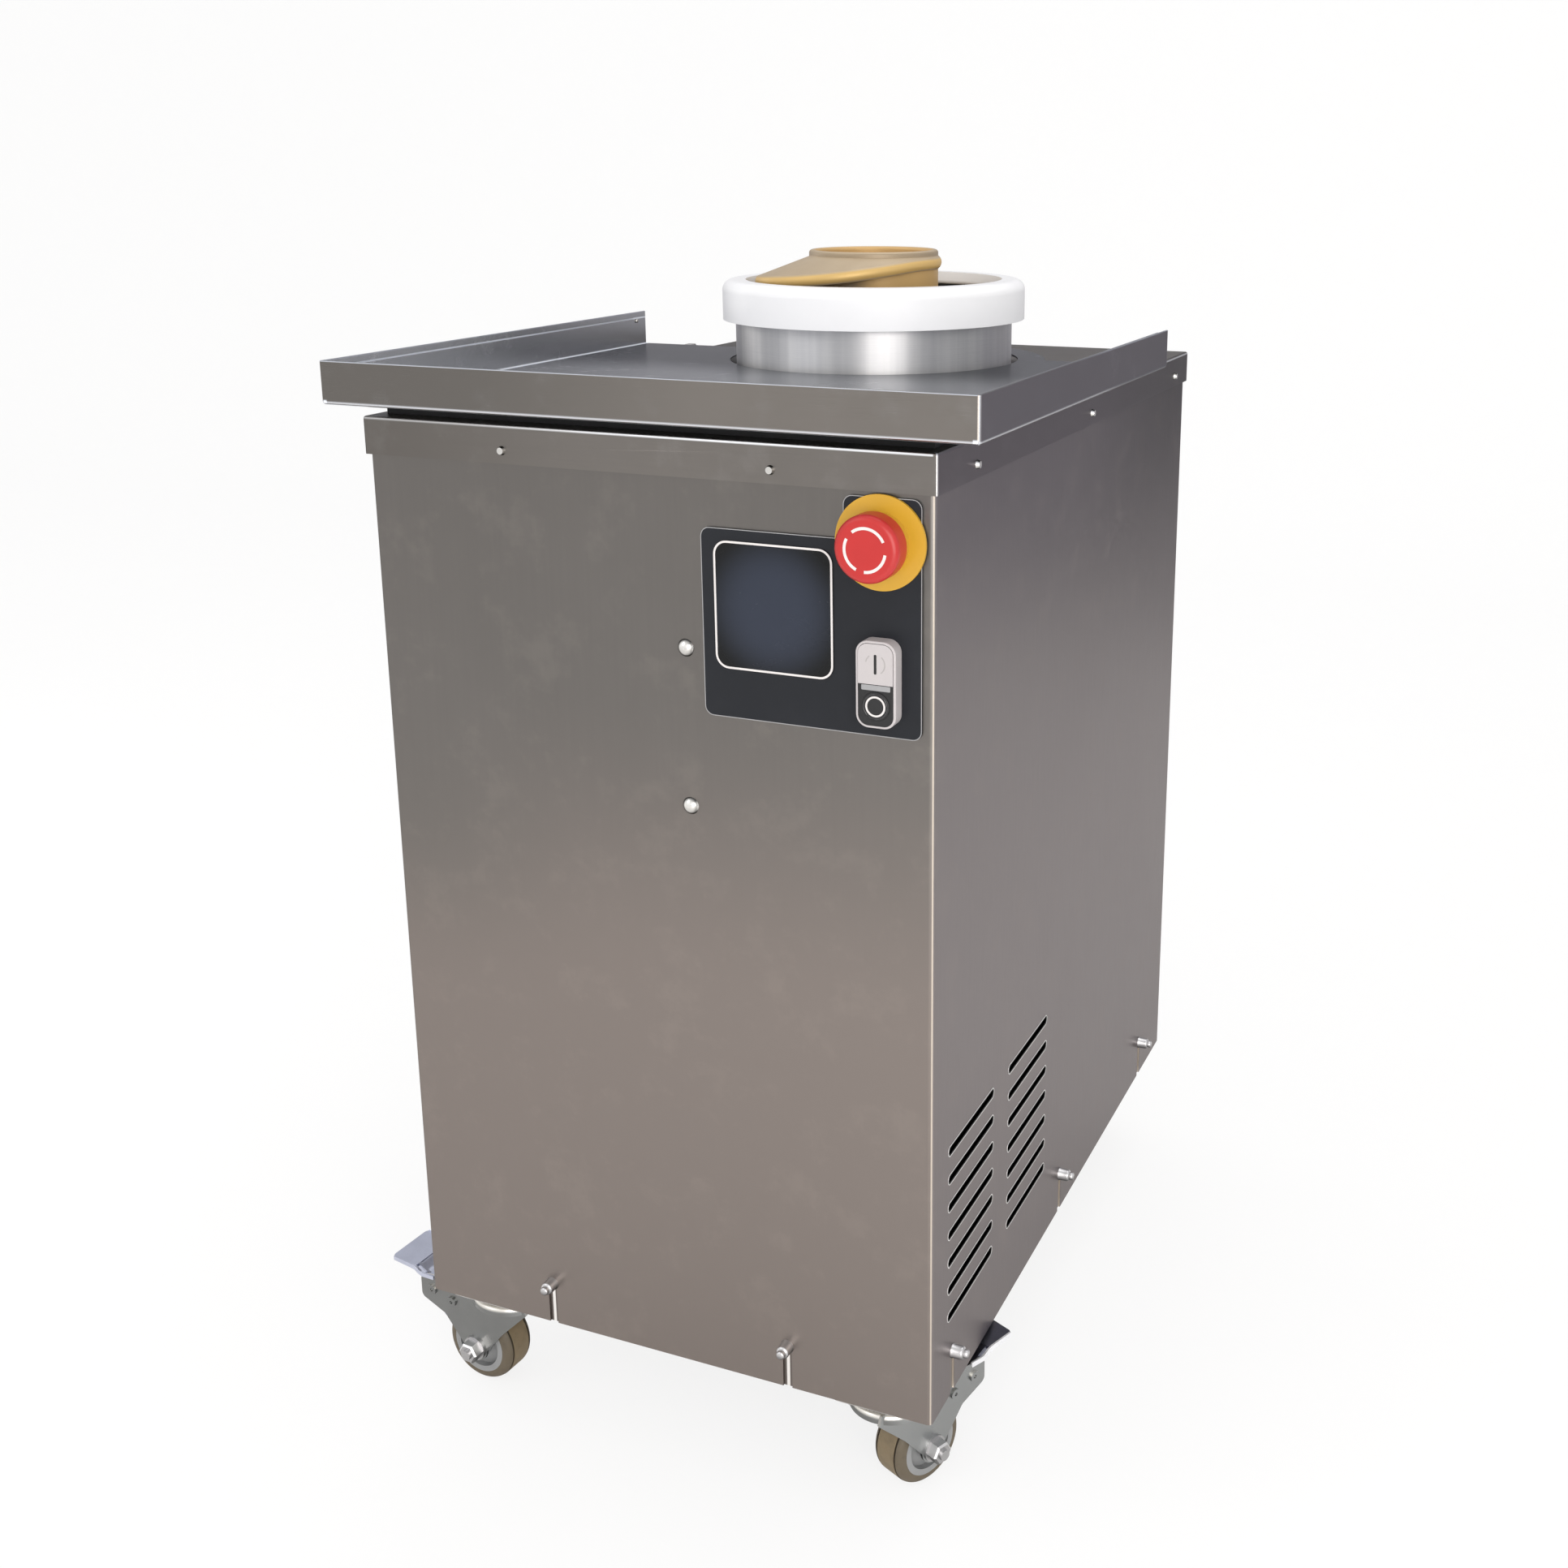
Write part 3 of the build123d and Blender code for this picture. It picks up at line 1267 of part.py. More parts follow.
# Stop button: round black key in the lower half.
with BuildPart() as stop_button:
    with BuildSketch(dual_plane.offset(dual_proud - dual_insert_drop + stop_proud)):
        with Locations((switch_x, stop_centre)):
            Circle(stop_radius)
    extrude(amount=-stop_depth)
    fillet(stop_button.edges().group_by(Axis.Y)[0], stop_round)
stop_button.part.label = "stop_button"
export_step(stop_button.part, "parts/stop_button.step")

# Drive controller: motor inverter on a plate behind the front, with cooling fins.
controller_middle = (controller_top + controller_bottom) / 2
controller_box_x = controller_left + controller_edge + controller_width / 2
with BuildPart() as drive_controller:
    with BuildSketch(Plane.XZ.offset(-inner_front)):
        with Locations(((controller_left + controller_right) / 2, controller_middle)):
            Rectangle(controller_right - controller_left, controller_top - controller_bottom)
        with Locations((front_screw_x, front_screw_upper), (front_screw_x, front_screw_lower)):
            Circle(front_screw_radius, mode=Mode.SUBTRACT)
    extrude(amount=-controller_plate)
    with BuildSketch(Plane.XZ.offset(-inner_front - controller_plate)):
        with Locations((controller_box_x, controller_middle)):
            Rectangle(controller_width, controller_height)
    extrude(amount=-(controller_depth - controller_fin_depth))
    with BuildSketch(Plane.XZ.offset(-inner_front - controller_plate)):
        with Locations((controller_box_x, controller_middle)):
            with GridLocations(controller_width / controller_fin_count, 0, controller_fin_count, 1):
                Rectangle(controller_fin, controller_height)
    extrude(amount=-controller_depth)
drive_controller.part.label = "drive_controller"
export_step(drive_controller.part, "parts/drive_controller.step")

# Cable gland: hexagon and domed nut on the rear panel, with a locknut inside.
gland_face = rear_face - panel_sheet
with BuildPart() as cable_gland:
    with BuildSketch(Plane.XZ.offset(-gland_face)):
        with Locations((gland_x, gland_height)):
            RegularPolygon(gland_flats / 2, 6, major_radius=False)
    extrude(amount=-gland_hex)
    with BuildSketch(Plane.XZ.offset(-gland_face)):
        with Locations((gland_x, gland_height)):
            Circle(gland_dome_radius)
    extrude(amount=-(gland_hex + gland_dome))
    fillet(cable_gland.edges().group_by(Axis.Y)[-1], gland_round)
    with BuildSketch(Plane.XZ.offset(-gland_face)):
        with Locations((gland_x, gland_height)):
            Circle(gland_thread)
    extrude(amount=panel_sheet + gland_inside)
    with BuildSketch(Plane.XZ.offset(-gland_face + panel_sheet)):
        with Locations((gland_x, gland_height)):
            RegularPolygon(gland_flats / 2, 6, major_radius=False)
    extrude(amount=gland_hex)
    with BuildSketch(Plane.XZ):
        with Locations((gland_x, gland_height)):
            Circle(gland_bore)
    extrude(amount=-cabinet_depth, mode=Mode.SUBTRACT)
cable_gland.part.label = "cable_gland"
export_step(cable_gland.part, "parts/cable_gland.step")

# Caster plates: plates under the pan, each with a ball race and a headed kingpin.
race_bottom = cabinet_bottom - caster_plate - race_height
roof_top = race_bottom - slip
roof_bottom = roof_top - fork_sheet
caster_spots = GridLocations(2 * caster_x, 2 * caster_y, 2, 2)
with BuildPart() as caster_plates:
    with BuildSketch(Plane.XY.offset(cabinet_bottom)):
        with caster_spots:
            RectangleRounded(caster_plate_width, caster_plate_length, plate_corner)
    extrude(amount=-caster_plate)
    with BuildSketch(Plane.XY.offset(race_bottom)):
        with caster_spots:
            Circle(race_radius)
    extrude(amount=race_height)
    with BuildSketch(Plane.XY.offset(race_bottom)):
        with caster_spots:
            Circle(king_pin_radius)
    extrude(amount=-(race_bottom - roof_bottom + slip))
    with BuildSketch(Plane.XY.offset(roof_bottom - slip)):
        with caster_spots:
            Circle(king_pin_head)
    extrude(amount=-king_pin_head_height)
caster_plates.part.label = "caster_plates"
export_step(caster_plates.part, "parts/caster_plates.step")

# One caster, with its swivel axis on the Z axis and its wheel trailing towards +X.
fork_outside = fork_inside / 2 + fork_sheet
tail_x = caster_trail + fork_tail_reach
pivot_x = caster_trail + pedal_pivot_reach
with BuildPart() as fork:
    with BuildSketch(Plane.XY.offset(roof_top)):
        Circle(fork_head_radius)
    extrude(amount=-(roof_top - fork_nose_height))
    fillet(fork.edges().group_by(Axis.Z)[-1], fork_shoulder)
    offset(amount=-fork_sheet, openings=fork.faces().sort_by(Axis.Z)[0])
    with BuildSketch(Plane.XY.offset(roof_top)):
        with Locations(((caster_trail + fork_roof_reach) / 2, 0)):
            Rectangle(caster_trail + fork_roof_reach, 2 * fork_outside)
    extrude(amount=-fork_sheet)
    with BuildSketch(Plane.XZ.offset(fork_outside), Plane.XZ.offset(-fork_inside / 2)) as fork_side:
        with BuildLine():
            Polyline(
                (fork_shoulder - fork_head_radius, roof_top),
                (fork_shoulder / 2 - fork_head_radius, fork_nose_height),
                (caster_trail - fork_knee_reach, fork_knee_height),
                (caster_trail - fork_boss_radius, wheel_radius),
                (caster_trail + fork_boss_radius, wheel_radius),
                (caster_trail + fork_elbow_reach, fork_elbow_height),
                (tail_x, fork_tail_height),
                (tail_x, fork_tail_top),
                (caster_trail + fork_roof_reach, roof_top),
                close=True,
            )
        make_face()
        fillet(fork_side.vertices().group_by(Axis.X)[-1], fork_tail_round)
        with Locations((caster_trail, wheel_radius)):
            Circle(fork_boss_radius)
    extrude(amount=-fork_sheet)
    rivet_spots = Locations((pivot_x, pedal_pivot_height), (caster_trail + rivet_reach, rivet_height))
    rivet_end = fork_outside + rivet_head
    with BuildSketch(Plane.XZ.offset(fork_outside)):
        with Locations((pivot_x, pedal_pivot_height)):
            Circle(pedal_pivot_radius)
        with Locations((caster_trail + rivet_reach, rivet_height)):
            Circle(rivet_radius)
    extrude(amount=-2 * fork_outside)
    with BuildSketch(Plane.XZ.offset(rivet_end), Plane.XZ.offset(-fork_outside)):
        with rivet_spots:
            Circle(rivet_head_radius)
    extrude(amount=-rivet_head)
    with BuildSketch(Plane.XZ.offset(rivet_end), Plane.XZ.offset(rivet_dimple - rivet_end)):
        with rivet_spots:
            Circle(rivet_dimple_radius)
    extrude(amount=-rivet_dimple, mode=Mode.SUBTRACT)
    with BuildSketch(Plane.XY.offset(roof_top)):
        Circle(king_pin_radius + running_fit)
    extrude(amount=-(roof_top - fork_nose_height), mode=Mode.SUBTRACT)
    with BuildSketch(Plane.XZ.offset(fork_outside)):
        with Locations((caster_trail, wheel_radius)):
            Circle(axle_radius)
    extrude(amount=-2 * fork_outside, mode=Mode.SUBTRACT)

with BuildPart() as axle:
    axle_end = fork_outside + axle_washer + axle_nut
    with BuildSketch(Plane.XZ.offset(axle_end), Plane.XZ.offset(-axle_end + axle_nut)):
        with Locations((caster_trail, wheel_radius)):
            RegularPolygon(axle_flats / 2, 6, major_radius=False)
    extrude(amount=-axle_nut)
    chamfer(axle.edges().group_by(Axis.Y)[0] + axle.edges().group_by(Axis.Y)[-1], axle_chamfer)
    with BuildSketch(Plane.XZ.offset(fork_outside + axle_washer), Plane.XZ.offset(-fork_outside)):
        with Locations((caster_trail, wheel_radius)):
            Circle(axle_washer_radius)
    extrude(amount=-axle_washer)
    with BuildSketch(Plane.XZ.offset(axle_end + axle_tip)):
        with Locations((caster_trail, wheel_radius)):
            Circle(axle_radius)
    extrude(amount=-2 * (axle_end + axle_tip))

wheel_section = Plane.XY.offset(wheel_radius)
wheel_axis = Axis((caster_trail, 0, wheel_radius), (0, 1, 0))
with BuildPart() as tyre:
    with BuildSketch(wheel_section) as tread:
        with Locations((caster_trail + (wheel_radius + tyre_inner_radius) / 2, 0)):
            Rectangle(wheel_radius - tyre_inner_radius, wheel_width)
        fillet(tread.vertices().group_by(Axis.X)[-1], tyre_round)
        with Locations((caster_trail + wheel_radius, 0)):
            with GridLocations(0, 2 * tyre_groove_offset, 1, 2):
                Rectangle(2 * tyre_groove, tyre_groove, mode=Mode.SUBTRACT)
    revolve(axis=wheel_axis)

hub_half = fork_inside / 2 - hub_side_gap
with BuildPart() as hub:
    with BuildSketch(wheel_section):
        with Locations((caster_trail + tyre_inner_radius / 2, 0)):
            Rectangle(tyre_inner_radius, wheel_width)
        with Locations((caster_trail + hub_boss_radius / 2, 0)):
            Rectangle(hub_boss_radius, 2 * hub_half)
        with Locations((caster_trail + (hub_boss_radius + hub_recess_radius) / 2, 0)):
            with GridLocations(0, wheel_width, 1, 2):
                Rectangle(hub_recess_radius - hub_boss_radius, 2 * hub_recess, mode=Mode.SUBTRACT)
        with Locations((caster_trail + (axle_radius + running_fit) / 2, 0)):
            Rectangle(axle_radius + running_fit, 2 * wheel_width, mode=Mode.SUBTRACT)
    revolve(axis=wheel_axis)

shoe_x = pivot_x + pedal_shoe_arm * cos(radians(pedal_shoe_angle))
shoe_z = pedal_pivot_height + pedal_shoe_arm * sin(radians(pedal_shoe_angle))
ear_outside = fork_inside / 2 - slip
foot_start = caster_trail + pedal_plate_start
foot_end = foot_start + pedal_plate_length
foot_low = pedal_plate_top - pedal_plate_rise
with BuildPart() as pedal:
    with BuildSketch(Plane.XZ.offset(ear_outside), Plane.XZ.offset(pedal_ear - ear_outside)):
        with BuildLine():
            Polyline(
                (shoe_x - pedal_shoe_radius, shoe_z),
                (shoe_x + pedal_shoe_radius, shoe_z),
                (pivot_x + pedal_ear_radius, pedal_pivot_height),
                (foot_start + pedal_plate, foot_low - pedal_plate / 2),
                (foot_start, foot_low),
                (pivot_x - pedal_ear_radius / 2, pedal_pivot_height + pedal_ear_radius * sqrt(3) / 2),
                (pivot_x - pedal_ear_radius, pedal_pivot_height),
                close=True,
            )
        make_face()
        with Locations((pivot_x, pedal_pivot_height)):
            Circle(pedal_ear_radius)
    extrude(amount=-pedal_ear)
    with BuildSketch(Plane.XZ.offset(ear_outside)):
        with Locations((shoe_x, shoe_z)):
            Circle(pedal_shoe_radius)
    extrude(amount=-2 * ear_outside)
    with BuildSketch(Plane.XZ.offset(pedal_plate_width / 2)):
        with BuildLine():
            Polyline(
                (foot_start, foot_low - pedal_plate),
                (foot_end, pedal_plate_top - pedal_plate),
                (foot_end, pedal_plate_top),
                (foot_start, foot_low),
                close=True,
            )
        make_face()
    extrude(amount=-pedal_plate_width)
    fillet(pedal.edges().filter_by(Axis.Z).group_by(Axis.X)[-1], pedal_corner)
    with BuildSketch(Plane.XZ.offset(ear_outside)):
        with Locations((pivot_x, pedal_pivot_height)):
            Circle(pedal_pivot_radius + running_fit)
    extrude(amount=-2 * ear_outside, mode=Mode.SUBTRACT)

# The four casters: the same pieces under each corner, turned as they stand.
front_left_place = Location((-caster_x, -caster_y, 0), (0, 0, front_left_turn))
front_right_place = Location((caster_x, -caster_y, 0), (0, 0, front_right_turn))
rear_left_place = Location((-caster_x, caster_y, 0), (0, 0, rear_left_turn))
rear_right_place = Location((caster_x, caster_y, 0), (0, 0, rear_right_turn))

with BuildPart() as front_left_fork:
    with Locations(front_left_place):
        add(fork.part)
front_left_fork.part.label = "front_left_fork"
export_step(front_left_fork.part, "parts/front_left_fork.step")

with BuildPart() as front_left_axle:
    with Locations(front_left_place):
        add(axle.part)
front_left_axle.part.label = "front_left_axle"
export_step(front_left_axle.part, "parts/front_left_axle.step")

with BuildPart() as front_left_tyre:
    with Locations(front_left_place):
        add(tyre.part)
front_left_tyre.part.label = "front_left_tyre"
export_step(front_left_tyre.part, "parts/front_left_tyre.step")

with BuildPart() as front_left_hub:
    with Locations(front_left_place):
        add(hub.part)
front_left_hub.part.label = "front_left_hub"
export_step(front_left_hub.part, "parts/front_left_hub.step")

with BuildPart() as front_left_pedal:
    with Locations(front_left_place):
        add(pedal.part)
front_left_pedal.part.label = "front_left_pedal"
export_step(front_left_pedal.part, "parts/front_left_pedal.step")

with BuildPart() as front_right_fork:
    with Locations(front_right_place):
        add(fork.part)
front_right_fork.part.label = "front_right_fork"
export_step(front_right_fork.part, "parts/front_right_fork.step")

with BuildPart() as front_right_axle:
    with Locations(front_right_place):
        add(axle.part)
front_right_axle.part.label = "front_right_axle"
export_step(front_right_axle.part, "parts/front_right_axle.step")

with BuildPart() as front_right_tyre:
    with Locations(front_right_place):
        add(tyre.part)
front_right_tyre.part.label = "front_right_tyre"
export_step(front_right_tyre.part, "parts/front_right_tyre.step")

with BuildPart() as front_right_hub:
    with Locations(front_right_place):
        add(hub.part)
front_right_hub.part.label = "front_right_hub"
export_step(front_right_hub.part, "parts/front_right_hub.step")

with BuildPart() as front_right_pedal:
    with Locations(front_right_place):
        add(pedal.part)
front_right_pedal.part.label = "front_right_pedal"
export_step(front_right_pedal.part, "parts/front_right_pedal.step")

with BuildPart() as rear_left_fork:
    with Locations(rear_left_place):
        add(fork.part)
rear_left_fork.part.label = "rear_left_fork"
export_step(rear_left_fork.part, "parts/rear_left_fork.step")

with BuildPart() as rear_left_axle:
    with Locations(rear_left_place):
        add(axle.part)
rear_left_axle.part.label = "rear_left_axle"
export_step(rear_left_axle.part, "parts/rear_left_axle.step")

with BuildPart() as rear_left_tyre:
    with Locations(rear_left_place):
        add(tyre.part)
rear_left_tyre.part.label = "rear_left_tyre"
export_step(rear_left_tyre.part, "parts/rear_left_tyre.step")

with BuildPart() as rear_left_hub:
    with Locations(rear_left_place):
        add(hub.part)
rear_left_hub.part.label = "rear_left_hub"
export_step(rear_left_hub.part, "parts/rear_left_hub.step")

with BuildPart() as rear_right_fork:
    with Locations(rear_right_place):
        add(fork.part)
rear_right_fork.part.label = "rear_right_fork"
export_step(rear_right_fork.part, "parts/rear_right_fork.step")

with BuildPart() as rear_right_axle:
    with Locations(rear_right_place):
        add(axle.part)
rear_right_axle.part.label = "rear_right_axle"
export_step(rear_right_axle.part, "parts/rear_right_axle.step")

with BuildPart() as rear_right_tyre:
    with Locations(rear_right_place):
        add(tyre.part)
rear_right_tyre.part.label = "rear_right_tyre"
export_step(rear_right_tyre.part, "parts/rear_right_tyre.step")

with BuildPart() as rear_right_hub:
    with Locations(rear_right_place):
        add(hub.part)
rear_right_hub.part.label = "rear_right_hub"
export_step(rear_right_hub.part, "parts/rear_right_hub.step")
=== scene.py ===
"""Looks of a dough rounder: a steel cabinet on casters, with a drum and a hollow auger on top.

Sizes are in millimetres in the part's own frame: +Z is up, -Y is the front, and the floor is at zero.
"""

from __future__ import annotations

import json
import logging
import math
from dataclasses import dataclass, field
from enum import Enum
from typing import Any, Iterable, Sequence, Union

import bpy
from mathutils import Matrix, Vector

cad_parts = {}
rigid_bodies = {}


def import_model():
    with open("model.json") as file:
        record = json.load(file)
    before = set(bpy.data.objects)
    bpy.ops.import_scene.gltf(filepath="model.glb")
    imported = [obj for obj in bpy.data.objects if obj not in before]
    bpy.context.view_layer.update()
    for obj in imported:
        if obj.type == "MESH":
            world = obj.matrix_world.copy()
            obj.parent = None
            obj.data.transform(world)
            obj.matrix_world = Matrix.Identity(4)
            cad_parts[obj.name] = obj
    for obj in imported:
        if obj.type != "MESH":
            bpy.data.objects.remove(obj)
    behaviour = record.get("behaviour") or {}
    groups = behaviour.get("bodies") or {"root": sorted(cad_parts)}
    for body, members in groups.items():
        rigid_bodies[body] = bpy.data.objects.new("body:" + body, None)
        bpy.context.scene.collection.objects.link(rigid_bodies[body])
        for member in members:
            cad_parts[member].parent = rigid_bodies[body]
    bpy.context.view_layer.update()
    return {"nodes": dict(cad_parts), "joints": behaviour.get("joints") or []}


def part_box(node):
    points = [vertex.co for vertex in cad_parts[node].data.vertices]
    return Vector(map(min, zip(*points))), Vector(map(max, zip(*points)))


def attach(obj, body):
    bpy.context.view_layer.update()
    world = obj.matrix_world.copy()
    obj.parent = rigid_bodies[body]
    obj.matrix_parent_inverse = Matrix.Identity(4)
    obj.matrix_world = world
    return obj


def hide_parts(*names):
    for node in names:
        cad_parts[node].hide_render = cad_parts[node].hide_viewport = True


LOG = logging.getLogger("dough_rounder")
MM = 0.001

Colour = tuple[float, float, float]
Point = tuple[float, float, float]
Flat = tuple[float, float]
Socket = bpy.types.NodeSocket

# The middle of a pattern that runs from 0 to 1, and the same size of pattern in every direction.
EVEN = 0.5
ALIKE: Point = (1.0, 1.0, 1.0)
# How far a surface has to face a direction before it starts to count, and where it counts in full.
FACING: Flat = (0.5, 0.8)
# Where the drum and the auger stand, across and along the depth.
DRUM_AXIS: Flat = (0.0, 80.3)


def srgb(red: float, green: float, blue: float) -> Colour:
    """Colour as it is read off a picture, turned into linear light.

    Args:
        red: Red from 0 to 255.
        green: Green from 0 to 255.
        blue: Blue from 0 to 255.

    Returns:
        The linear colour, each part from 0 to 1.
    """

    def linear(part: float) -> float:
        """One part in linear light."""
        share = part / 255
        return share / 12.92 if share <= 0.04045 else ((share + 0.055) / 1.055) ** 2.4

    return linear(red), linear(green), linear(blue)


class Value:
    """One number per point of a surface, joined to others by Python arithmetic."""

    def __init__(self, graph: Graph, socket: Socket) -> None:
        """Wraps a socket.

        Args:
            graph: The material that the socket is in.
            socket: An output socket that carries a number.
        """
        self.graph = graph
        self.socket = socket

    def _math(self, operation: str, *parts: Operand) -> Value:
        """Adds a Math node.

        Args:
            operation: Name of the Math node's operation.
            parts: Its operands in order.

        Returns:
            The node's result.
        """
        node = self.graph.node("ShaderNodeMath", {"operation": operation}, dict(enumerate(parts)))
        return Value(self.graph, node.outputs[0])

    def __add__(self, other: Operand) -> Value:
        """Sum."""
        return self._math("ADD", self, other)

    def __radd__(self, other: Operand) -> Value:
        """Sum with a number on the left."""
        return self._math("ADD", other, self)

    def __sub__(self, other: Operand) -> Value:
        """Difference."""
        return self._math("SUBTRACT", self, other)

    def __rsub__(self, other: Operand) -> Value:
        """Difference from a number on the left."""
        return self._math("SUBTRACT", other, self)

    def __mul__(self, other: Operand) -> Value:
        """Product."""
        return self._math("MULTIPLY", self, other)

    def __rmul__(self, other: Operand) -> Value:
        """Product with a number on the left."""
        return self._math("MULTIPLY", other, self)

    def __truediv__(self, other: Operand) -> Value:
        """Quotient."""
        return self._math("DIVIDE", self, other)

    def __rtruediv__(self, other: Operand) -> Value:
        """Quotient of a number on the left."""
        return self._math("DIVIDE", other, self)

    def __pow__(self, other: Operand) -> Value:
        """Power."""
        return self._math("POWER", self, other)

    def __rpow__(self, other: Operand) -> Value:
        """Power of a number on the left."""
        return self._math("POWER", other, self)

    def __abs__(self) -> Value:
        """Size without the sign."""
        return self._math("ABSOLUTE", self)

    def most(self, other: Operand) -> Value:
        """The larger of two values."""
        return self._math("MAXIMUM", self, other)

    def swing(self, amount: float) -> Value:
        """A pattern about its middle, so that it adds as much as it takes away."""
        return (self - EVEN) * amount

    def over(self, low: float, high: float) -> Value:
        """How far the value has come from low to high, gently at both ends and held at 0 and 1.

        Args:
            low: Where the result is 0.
            high: Where the result is 1.

        Returns:
            The share from 0 to 1.
        """
        settings = {"interpolation_type": "SMOOTHSTEP", "clamp": True}
        node = self.graph.node("ShaderNodeMapRange", settings, {0: self, 1: low, 2: high, 3: 0.0, 4: 1.0})
        return Value(self.graph, node.outputs[0])


Operand = Union[Value, float, int]


class Graph:
    """Builds the nodes of one material."""

    def __init__(self, name: str) -> None:
        """Starts an empty material.

        Args:
            name: The finish's name.
        """
        self.material = bpy.data.materials.new(f"{name}_finish")
        self.material.use_nodes = True
        self.tree = self.material.node_tree
        self.tree.nodes.clear()
        self._place: Socket | None = None

    def node(
        self,
        kind: str,
        settings: dict[str, Any] | None = None,
        sockets: dict[Union[int, str], Any] | None = None,
    ) -> bpy.types.Node:
        """Adds any node.

        Args:
            kind: The node's type.
            settings: Its properties, which are set first.
            sockets: Values or links for its inputs, by index or name.

        Returns:
            The new node.
        """
        made = self.tree.nodes.new(kind)
        for key, value in (settings or {}).items():
            setattr(made, key, value)
        for key, value in (sockets or {}).items():
            self._feed(made.inputs[key], value)
        return made

    def _feed(self, socket: Socket, value: Any) -> None:
        """Links or sets one input.

        Args:
            socket: The input.
            value: A Value, an output socket, a number, a vector or a colour.
        """
        if isinstance(value, Value):
            self.tree.links.new(value.socket, socket)
        elif isinstance(value, Socket):
            self.tree.links.new(value, socket)
        elif isinstance(value, tuple) and socket.type == "RGBA":
            socket.default_value = (*value, 1.0)
        else:
            socket.default_value = value

    def place(self) -> Socket:
        """Point on the piece, in metres in the part's frame."""
        if self._place is None:
            self._place = self.node("ShaderNodeTexCoord").outputs["Object"]
        return self._place

    def along(self, axis: Axis) -> Value:
        """One coordinate of the point, in millimetres."""
        parts = self.node("ShaderNodeSeparateXYZ", None, {0: self.place()})
        return Value(self, parts.outputs[axis.value]) * (1.0 / MM)

    def from_axis(self, middle: Flat) -> Value:
        """Distance of the point from an upright axis.

        Args:
            middle: Where the axis stands, across and along the depth.

        Returns:
            The distance in millimetres.
        """
        across = self.along(Axis.X) - middle[0]
        along = self.along(Axis.Y) - middle[1]
        return (across * across + along * along) ** 0.5

    def facing(self, axis: Axis) -> Value:
        """How far the surface faces along an axis of the frame, from -1 to 1."""
        normal = self.node("ShaderNodeNewGeometry").outputs["Normal"]
        return Value(self, self.node("ShaderNodeSeparateXYZ", None, {0: normal}).outputs[axis.value])

    def noise(self, size: float, detail: float = 3.0, rough: float = 0.55, stretch: Point = ALIKE) -> Value:
        """Cloudy pattern from 0 to 1.

        Args:
            size: Size of its clouds in millimetres.
            detail: How many finer layers it has.
            rough: How strong the finer layers are.
            stretch: How many times longer the clouds are along X, Y and Z.

        Returns:
            The pattern.
        """
        scale = tuple(1.0 / (size * MM * part) for part in stretch)
        moved = self.node("ShaderNodeMapping", None, {"Vector": self.place(), "Scale": scale})
        sockets = {"Vector": moved.outputs[0], "Scale": 1.0, "Detail": detail, "Roughness": rough}
        return Value(self, self.node("ShaderNodeTexNoise", None, sockets).outputs[0])

    def cells(self, size: float) -> Value:
        """Distance to scattered points, from 0 at a point, for specks.

        Args:
            size: Distance between the points in millimetres.

        Returns:
            The distance as a share of the size.
        """
        sockets = {"Vector": self.place(), "Scale": 1.0 / (size * MM)}
        return Value(self, self.node("ShaderNodeTexVoronoi", None, sockets).outputs["Distance"])

    def vary(self, base: float, *swings: tuple[Value, float]) -> Value:
        """Number that swings about a base with one or more patterns.

        Args:
            base: The number where every pattern is at its middle.
            swings: Pairs of a pattern and how far the number swings with it.

        Returns:
            The varying number.
        """
        total: Any = base
        for pattern, amount in swings:
            total = total + pattern.swing(amount)
        return total

    def mix(self, share: Operand, first: Any, second: Any) -> Socket:
        """Colour between two colours.

        Args:
            share: 0 for the first and 1 for the second.
            first: A colour or a colour socket.
            second: A colour or a colour socket.

        Returns:
            The mixed colour.
        """
        settings = {"data_type": "RGBA", "clamp_factor": True}
        return self.node("ShaderNodeMix", settings, {0: share, 6: first, 7: second}).outputs[2]

    def bump(self, height: Value, depth: float, strength: float) -> Socket:
        """Normal of a finely uneven surface.

        Args:
            height: Pattern of the unevenness, from 0 to 1.
            depth: Its depth in millimetres.
            strength: How much of it shows.

        Returns:
            The normal.
        """
        sockets = {"Strength": strength, "Distance": depth * MM, "Height": height}
        return self.node("ShaderNodeBump", None, sockets).outputs[0]

    def surface(self, sockets: dict[str, Any]) -> bpy.types.Material:
        """Closes the material with a Principled shader.

        Args:
            sockets: The shader's inputs by name.

        Returns:
            The finished material.
        """
        shader = self.node("ShaderNodeBsdfPrincipled", None, sockets)
        self.node("ShaderNodeOutputMaterial", None, {"Surface": shader.outputs[0]})
        return self.material


class Axis(Enum):
    """A direction of the part's frame."""

    X = 0
    Y = 1
    Z = 2

    def stretch(self, times: float) -> Point:
        """Stretch of a pattern along this direction."""
        x, y, z = (times if axis is self else 1.0 for axis in Axis)
        return x, y, z


class Side(Enum):
    """A side of the cabinet, by the sign of its X."""

    RIGHT = 1.0
    LEFT = -1.0


class Corner(Enum):
    """A corner of the cabinet, by the name that its caster's nodes start with."""

    FRONT_LEFT = "front_left"
    FRONT_RIGHT = "front_right"
    REAR_LEFT = "rear_left"
    REAR_RIGHT = "rear_right"


@dataclass(frozen=True)
class Finish:
    """A surface finish that makes its material once."""

    name: str

    def sockets(self, graph: Graph) -> dict[str, Any]:
        """The shader's inputs by name."""
        raise NotImplementedError

    def close(self, graph: Graph) -> bpy.types.Material:
        """The material, closed with the finish's shader."""
        return graph.surface(self.sockets(graph))

    def material(self) -> bpy.types.Material:
        """The material, made at its first use."""
        found = bpy.data.materials.get(f"{self.name}_finish")
        return found if found is not None else self.close(Graph(self.name))


